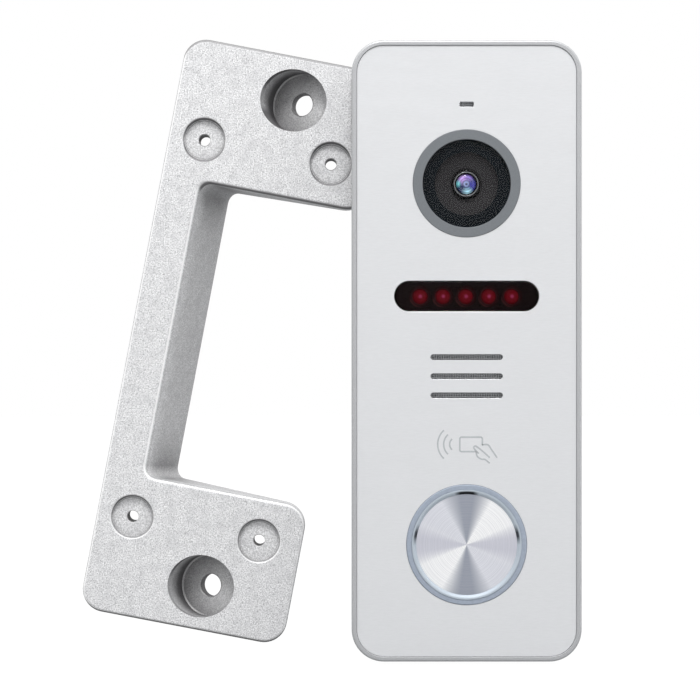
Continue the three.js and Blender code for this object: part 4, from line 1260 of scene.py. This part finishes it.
def wall_screw_well(v):
    hole, seat, depth = WALL_SCREW["hole"], WALL_SCREW["seat"], WALL_SCREW["seat_depth"]
    profile = [(0, BEYOND), (hole, BEYOND), (hole, depth + 0.25), (hole + 0.25, depth), (seat - 0.3, depth),
               (seat, depth - 0.3), (seat, SHORT), (0, SHORT)]
    return behind_seat(profile, WALL_SCREW["u"], v, True)


def make_bracket():
    rings = [wedge_ring(inset, drop) for inset, drop in reversed(quarter(0.85, 6))]
    rings += [wedge_back_ring(inset, drop) for inset, drop in quarter(0.5, 4)]
    body = loft("cast_wedge_bracket", rings)
    holes = [wall_screw_well(side * WALL_SCREW["v"]) for side in (1, -1)]
    for u in (PLATE_SCREW["u"], -PLATE_SCREW["u"]):
        holes += [plate_screw_pit(u, side * PLATE_SCREW["v"]) for side in (1, -1)]
    cut(body, bracket_pocket(), *holes)
    body.data.transform(bracket_at)
    make(body, "cast_bracket", "bracket", "wedge_bracket", angle=35)


# ---------------------------------------------------------------- camera, light and floor
VIEW_DISTANCE = 400
VIEW_X, VIEW_Z = -25.35, 0.2


def make_camera_view():
    camera = bpy.data.cameras.new("view")
    camera.sensor_width = 36
    camera.lens = 94.7
    camera.clip_start = 0.01
    eye = bpy.data.objects.new("view", camera)
    eye.location = (VIEW_X * MM, -(face_at.front + VIEW_DISTANCE) * MM, VIEW_Z * MM)
    eye.rotation_euler = (QUARTER, 0, 0)
    bpy.context.scene.collection.objects.link(eye)
    bpy.context.scene.camera = eye


def soft_light(name, place, size, watts, colour=(1, 1, 1)):
    light = bpy.data.lights.new(name, "AREA")
    light.shape = "DISK"
    light.size = size
    light.energy = watts
    light.color = colour
    lamp = bpy.data.objects.new(name, light)
    lamp.location = place
    lamp.rotation_euler = (-Vector(place)).to_track_quat("-Z", "Y").to_euler()
    bpy.context.scene.collection.objects.link(lamp)


def make_lights():
    soft_light("upper_left", (-0.03, -0.4, 0.6), 0.24, 3.3)
    soft_light("lower_right", (0.36, -0.24, -0.14), 0.2, 1.5)


def make_world():
    """White behind the object. For light it is a room whose walls are brighter than its front, with soft
    boxes between dark gaps above, below and at the sides."""
    world = bpy.data.worlds.new("studio")
    world.use_nodes = True
    bpy.context.scene.world = world
    sky = Finish.__new__(Finish)
    sky.tree = world.node_tree
    way = sky.add("SeparateXYZ", {0: sky.add("TexCoord").outputs["Generated"]})
    x, y, z = (way.outputs[axis] for axis in "XYZ")
    sideways = sky.math("SUBTRACT", 1.0, sky.math("ABSOLUTE", y))
    level = sky.math("ADD", 0.83, sky.math("MULTIPLY", sideways, 0.6))
    level = sky.math("MULTIPLY", level, sky.span(z, 0.4, 1.2, -0.3, 0.0))
    level = sky.math("MULTIPLY", level, sky.span(x, 0.98, 1.05, -0.8, 0.8))
    xx, zz = sky.math("MULTIPLY", x, x), sky.math("MULTIPLY", z, z)
    across = sky.math("DIVIDE", sky.math("SUBTRACT", xx, zz), sky.math("ADD", sky.math("ADD", xx, zz), 1e-5))
    gap = sky.span(sky.math("ABSOLUTE", across), 0.0, 0.4, 0.5, 0.96)
    level = sky.math("MULTIPLY", level, sky.math("SUBTRACT", 1.0, gap))
    seen = sky.add("LightPath").outputs["Is Camera Ray"]
    strength = sky.add("Mix", {0: seen, 2: level, 3: 1.0}).outputs[0]
    background = sky.tree.nodes["Background"]
    background.inputs["Color"].default_value = (1, 1, 1, 1)
    sky.feed(background.inputs["Strength"], strength)


def make_floor():
    """A plain white table top under the object, kept almost free of shadow."""
    finish = Finish("table_white", (164, 165, 166), 0, 0.9)
    finish.mottle(finish.noise(8), 0.01)
    glow = finish.add("Emission", {"Color": (1, 1, 1, 1), "Strength": 1.12}).outputs[0]
    seen = finish.add("LightPath").outputs["Is Camera Ray"]
    share = finish.math("MULTIPLY", seen, 0.88)
    mixed = finish.add("MixShader", {0: share, 1: finish.shader.outputs[0], 2: glow}).outputs[0]
    finish.tree.links.new(mixed, finish.tree.nodes["Material Output"].inputs["Surface"])
    level = cad_box[0][2] / MM - 1.0
    outline = circle(1500, 0, 0, 96)
    floor = new_object("floor", [(x, y, level) for x, y in outline], [list(range(len(outline)))])
    floor.data.materials.append(finish.material)


# ---------------------------------------------------------------- the whole
def make_everything():
    make_housing()
    make_face_plate()
    make_reader_sign()
    make_camera_front()
    make_lens_dish()
    make_lens()
    make_camera_inside()
    make_lamps()
    make_screens()
    make_speaker()
    make_microphone()
    make_call_button()
    make_switch()
    make_rear_cover()
    make_lock_screw()
    make_wall_plate()
    make_coil()
    make_boards()
    make_bracket()


make_everything()
make_camera_view()
make_lights()
make_world()
make_floor()
bpy.context.scene.view_settings.view_transform = "Standard"
